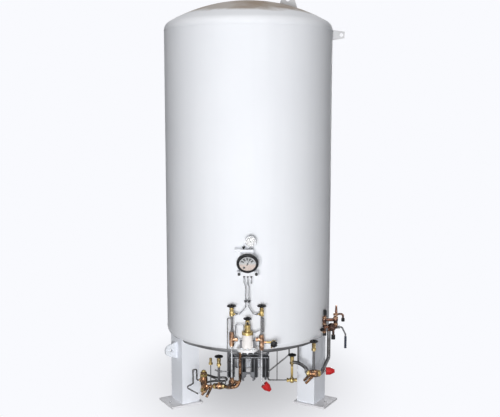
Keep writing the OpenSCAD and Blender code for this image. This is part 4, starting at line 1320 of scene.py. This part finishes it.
@dataclass
class LeverGrip(Assembly):
    """Ribbed grip on the end of the diverter's lever."""

    length: float = 0.120
    radius: float = 0.0125
    rod: float = 0.008
    below: float = 0.003
    ribs: int = 7
    groove: float = 0.88
    edge: float = 0.0015
    edge_angle: float = 8.0

    def build(self) -> None:
        """Model the grip on the lever's straight end."""
        low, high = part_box("diverter_lever")
        rise = self.length / (2 * self.ribs)
        cylinder("lever_grip", self.radius, rise, ROUND)
        for index in range(2 * self.ribs - 1):
            pick_top()
            extrude(rise)
            swell = 1 / self.groove if index % 2 else self.groove
            widen(swell, swell)
        piece = close(self.edge, angle=self.edge_angle)
        foot = (high.x - self.rod, (low.y + high.y) / 2, low.z - self.below)
        piece.data.transform(Matrix.Translation(foot))
        self.fit(piece, Slot.CAP_BLACK, "diverter_lever", self.finishes.grip)


@dataclass(frozen=True)
class Lamp:
    """A square soft lamp that points at a spot."""

    name: str
    at: Point
    aim: Point
    size: float
    power: float

    def hang(self) -> None:
        """Hang the lamp."""
        data = bpy.data.lights.new(self.name, "AREA")
        data.size = self.size
        data.energy = self.power
        lamp = bpy.data.objects.new(self.name, data)
        lamp.location = self.at
        lamp.rotation_euler = (Vector(self.aim) - Vector(self.at)).to_track_quat("-Z", "Y").to_euler()
        bpy.context.scene.collection.objects.link(lamp)


@dataclass
class Studio:
    """Pale floor, white surround, soft lamps and the camera."""

    surround: Colour = (0.947, 0.955, 0.991)
    ambient: Colour = (1.0, 0.97, 0.95)
    ambient_power: float = 0.02
    lamps: tuple[Lamp, ...] = (
        Lamp("key", (-1.0, -9.6, 1.8), (0.0, -0.8, 1.6), 3.4, 715.0),
        Lamp("top", (-0.3, -2.4, 10.5), (0.0, -0.4, 3.0), 4.0, 350.0),
        Lamp("fill", (6.0, -4.5, 1.6), (0.0, 0.0, 1.6), 3.0, 45.0),
        Lamp("back", (2.5, 8.5, 3.5), (0.0, 0.0, 1.8), 4.0, 330.0),
    )
    camera_at: Point = (0.0, -8.28, 2.97)
    pitch: float = 7.33
    lens: float = 58.6
    sensor: float = 36.0
    shift: Pair = (0.0034, 0.001)
    floor_size: float = 80.0
    floor_below: float = 0.0005
    floor_tones: tuple[Colour, Colour] = ((0.42, 0.415, 0.415), (0.39, 0.385, 0.385))
    floor_patches: Pair = (2.0, 3.0)
    floor_rough: float = 0.9
    shade_radius: Pair = (0.0, 1.6)
    shade_back: float = 0.35
    shade_stretch: float = 0.6
    shade_most: float = 0.54

    def world(self) -> None:
        """Make a surround that looks white and lights the part only dimly."""
        world = bpy.data.worlds.new("surround")
        bpy.context.scene.world = world
        nodes = Nodes(world)
        dim = nodes.node("Background", (*self.ambient, 1.0), self.ambient_power)
        seen = nodes.node("Background", (*self.surround, 1.0))
        pair = [light.outputs["Background"] for light in (dim, seen)]
        mix = nodes.node("MixShader", nodes.seen_rays(), *pair)
        nodes.node("OutputWorld", mix.outputs["Shader"])

    def floor(self) -> None:
        """Lay the floor, which keeps the part's shadow, with a painted soft shadow near the part that turns white
        further out.
        """
        clear()
        bpy.ops.mesh.primitive_plane_add(size=self.floor_size, location=(0.0, 0.0, -self.floor_below))
        floor = bpy.context.object
        floor.name = "studio_floor"
        graph = Graph("studio_floor")
        # Painted shadow: the darker lit floor shows most near a spot behind the part and gives way to white with
        # distance.
        back = (0.0, -self.shade_back * self.shade_stretch, 0.0)
        spot = graph.node("Mapping", Vector=graph.place, Location=back, Scale=(1.0, self.shade_stretch, 1.0))
        reach = graph.node("VectorMath", spot.outputs["Vector"])
        reach.operation = "LENGTH"
        ends = (*self.shade_radius, 1.0 - self.shade_most, 1.0)
        share = graph.spread(reach.outputs["Value"], *ends, curve="SMOOTHSTEP")
        share = graph.combine("MULTIPLY", share, graph.seen_rays())
        white = graph.node("Emission", (*self.surround, 1.0))
        mix = graph.node("MixShader", share, graph.shader.outputs["BSDF"], white.outputs["Emission"])
        graph.plug(graph.output.inputs["Surface"], mix.outputs["Shader"])
        graph.colour(graph.colours(graph.noise(*self.floor_patches), *self.floor_tones))
        graph.set(Roughness=self.floor_rough, Specular_IOR_Level=0.0)
        floor.data.materials.append(graph.material)

    def camera(self) -> None:
        """Set the camera where the picture was taken from."""
        data = bpy.data.cameras.new("view")
        data.sensor_width = self.sensor
        data.lens = self.lens
        data.shift_x, data.shift_y = self.shift
        camera = bpy.data.objects.new("view", data)
        camera.location = self.camera_at
        camera.rotation_euler = (math.radians(90.0 - self.pitch), 0.0, 0.0)
        bpy.context.scene.collection.objects.link(camera)
        bpy.context.scene.camera = camera

    def build(self) -> None:
        """Set up the whole studio."""
        bpy.context.scene.view_settings.view_transform = "Standard"
        self.world()
        self.floor()
        for lamp in self.lamps:
            lamp.hang()
        self.camera()


def main() -> None:
    """Dress the nodes, build the small pieces in order and set up the studio."""
    logging.basicConfig(level=logging.INFO, format="%(message)s")
    finishes = Finishes()
    finishes.dress_nodes()
    assemblies = (
        WeldSeams, GaugePanel, TubeNuts, WheelNuts, WheelCover, ColumnTrim, BentPipes, FlangeBolts, LeverGrip
    )
    for assembly in assemblies:
        assembly(finishes).build()
    Studio().build()


if __name__ == "__main__":
    main()
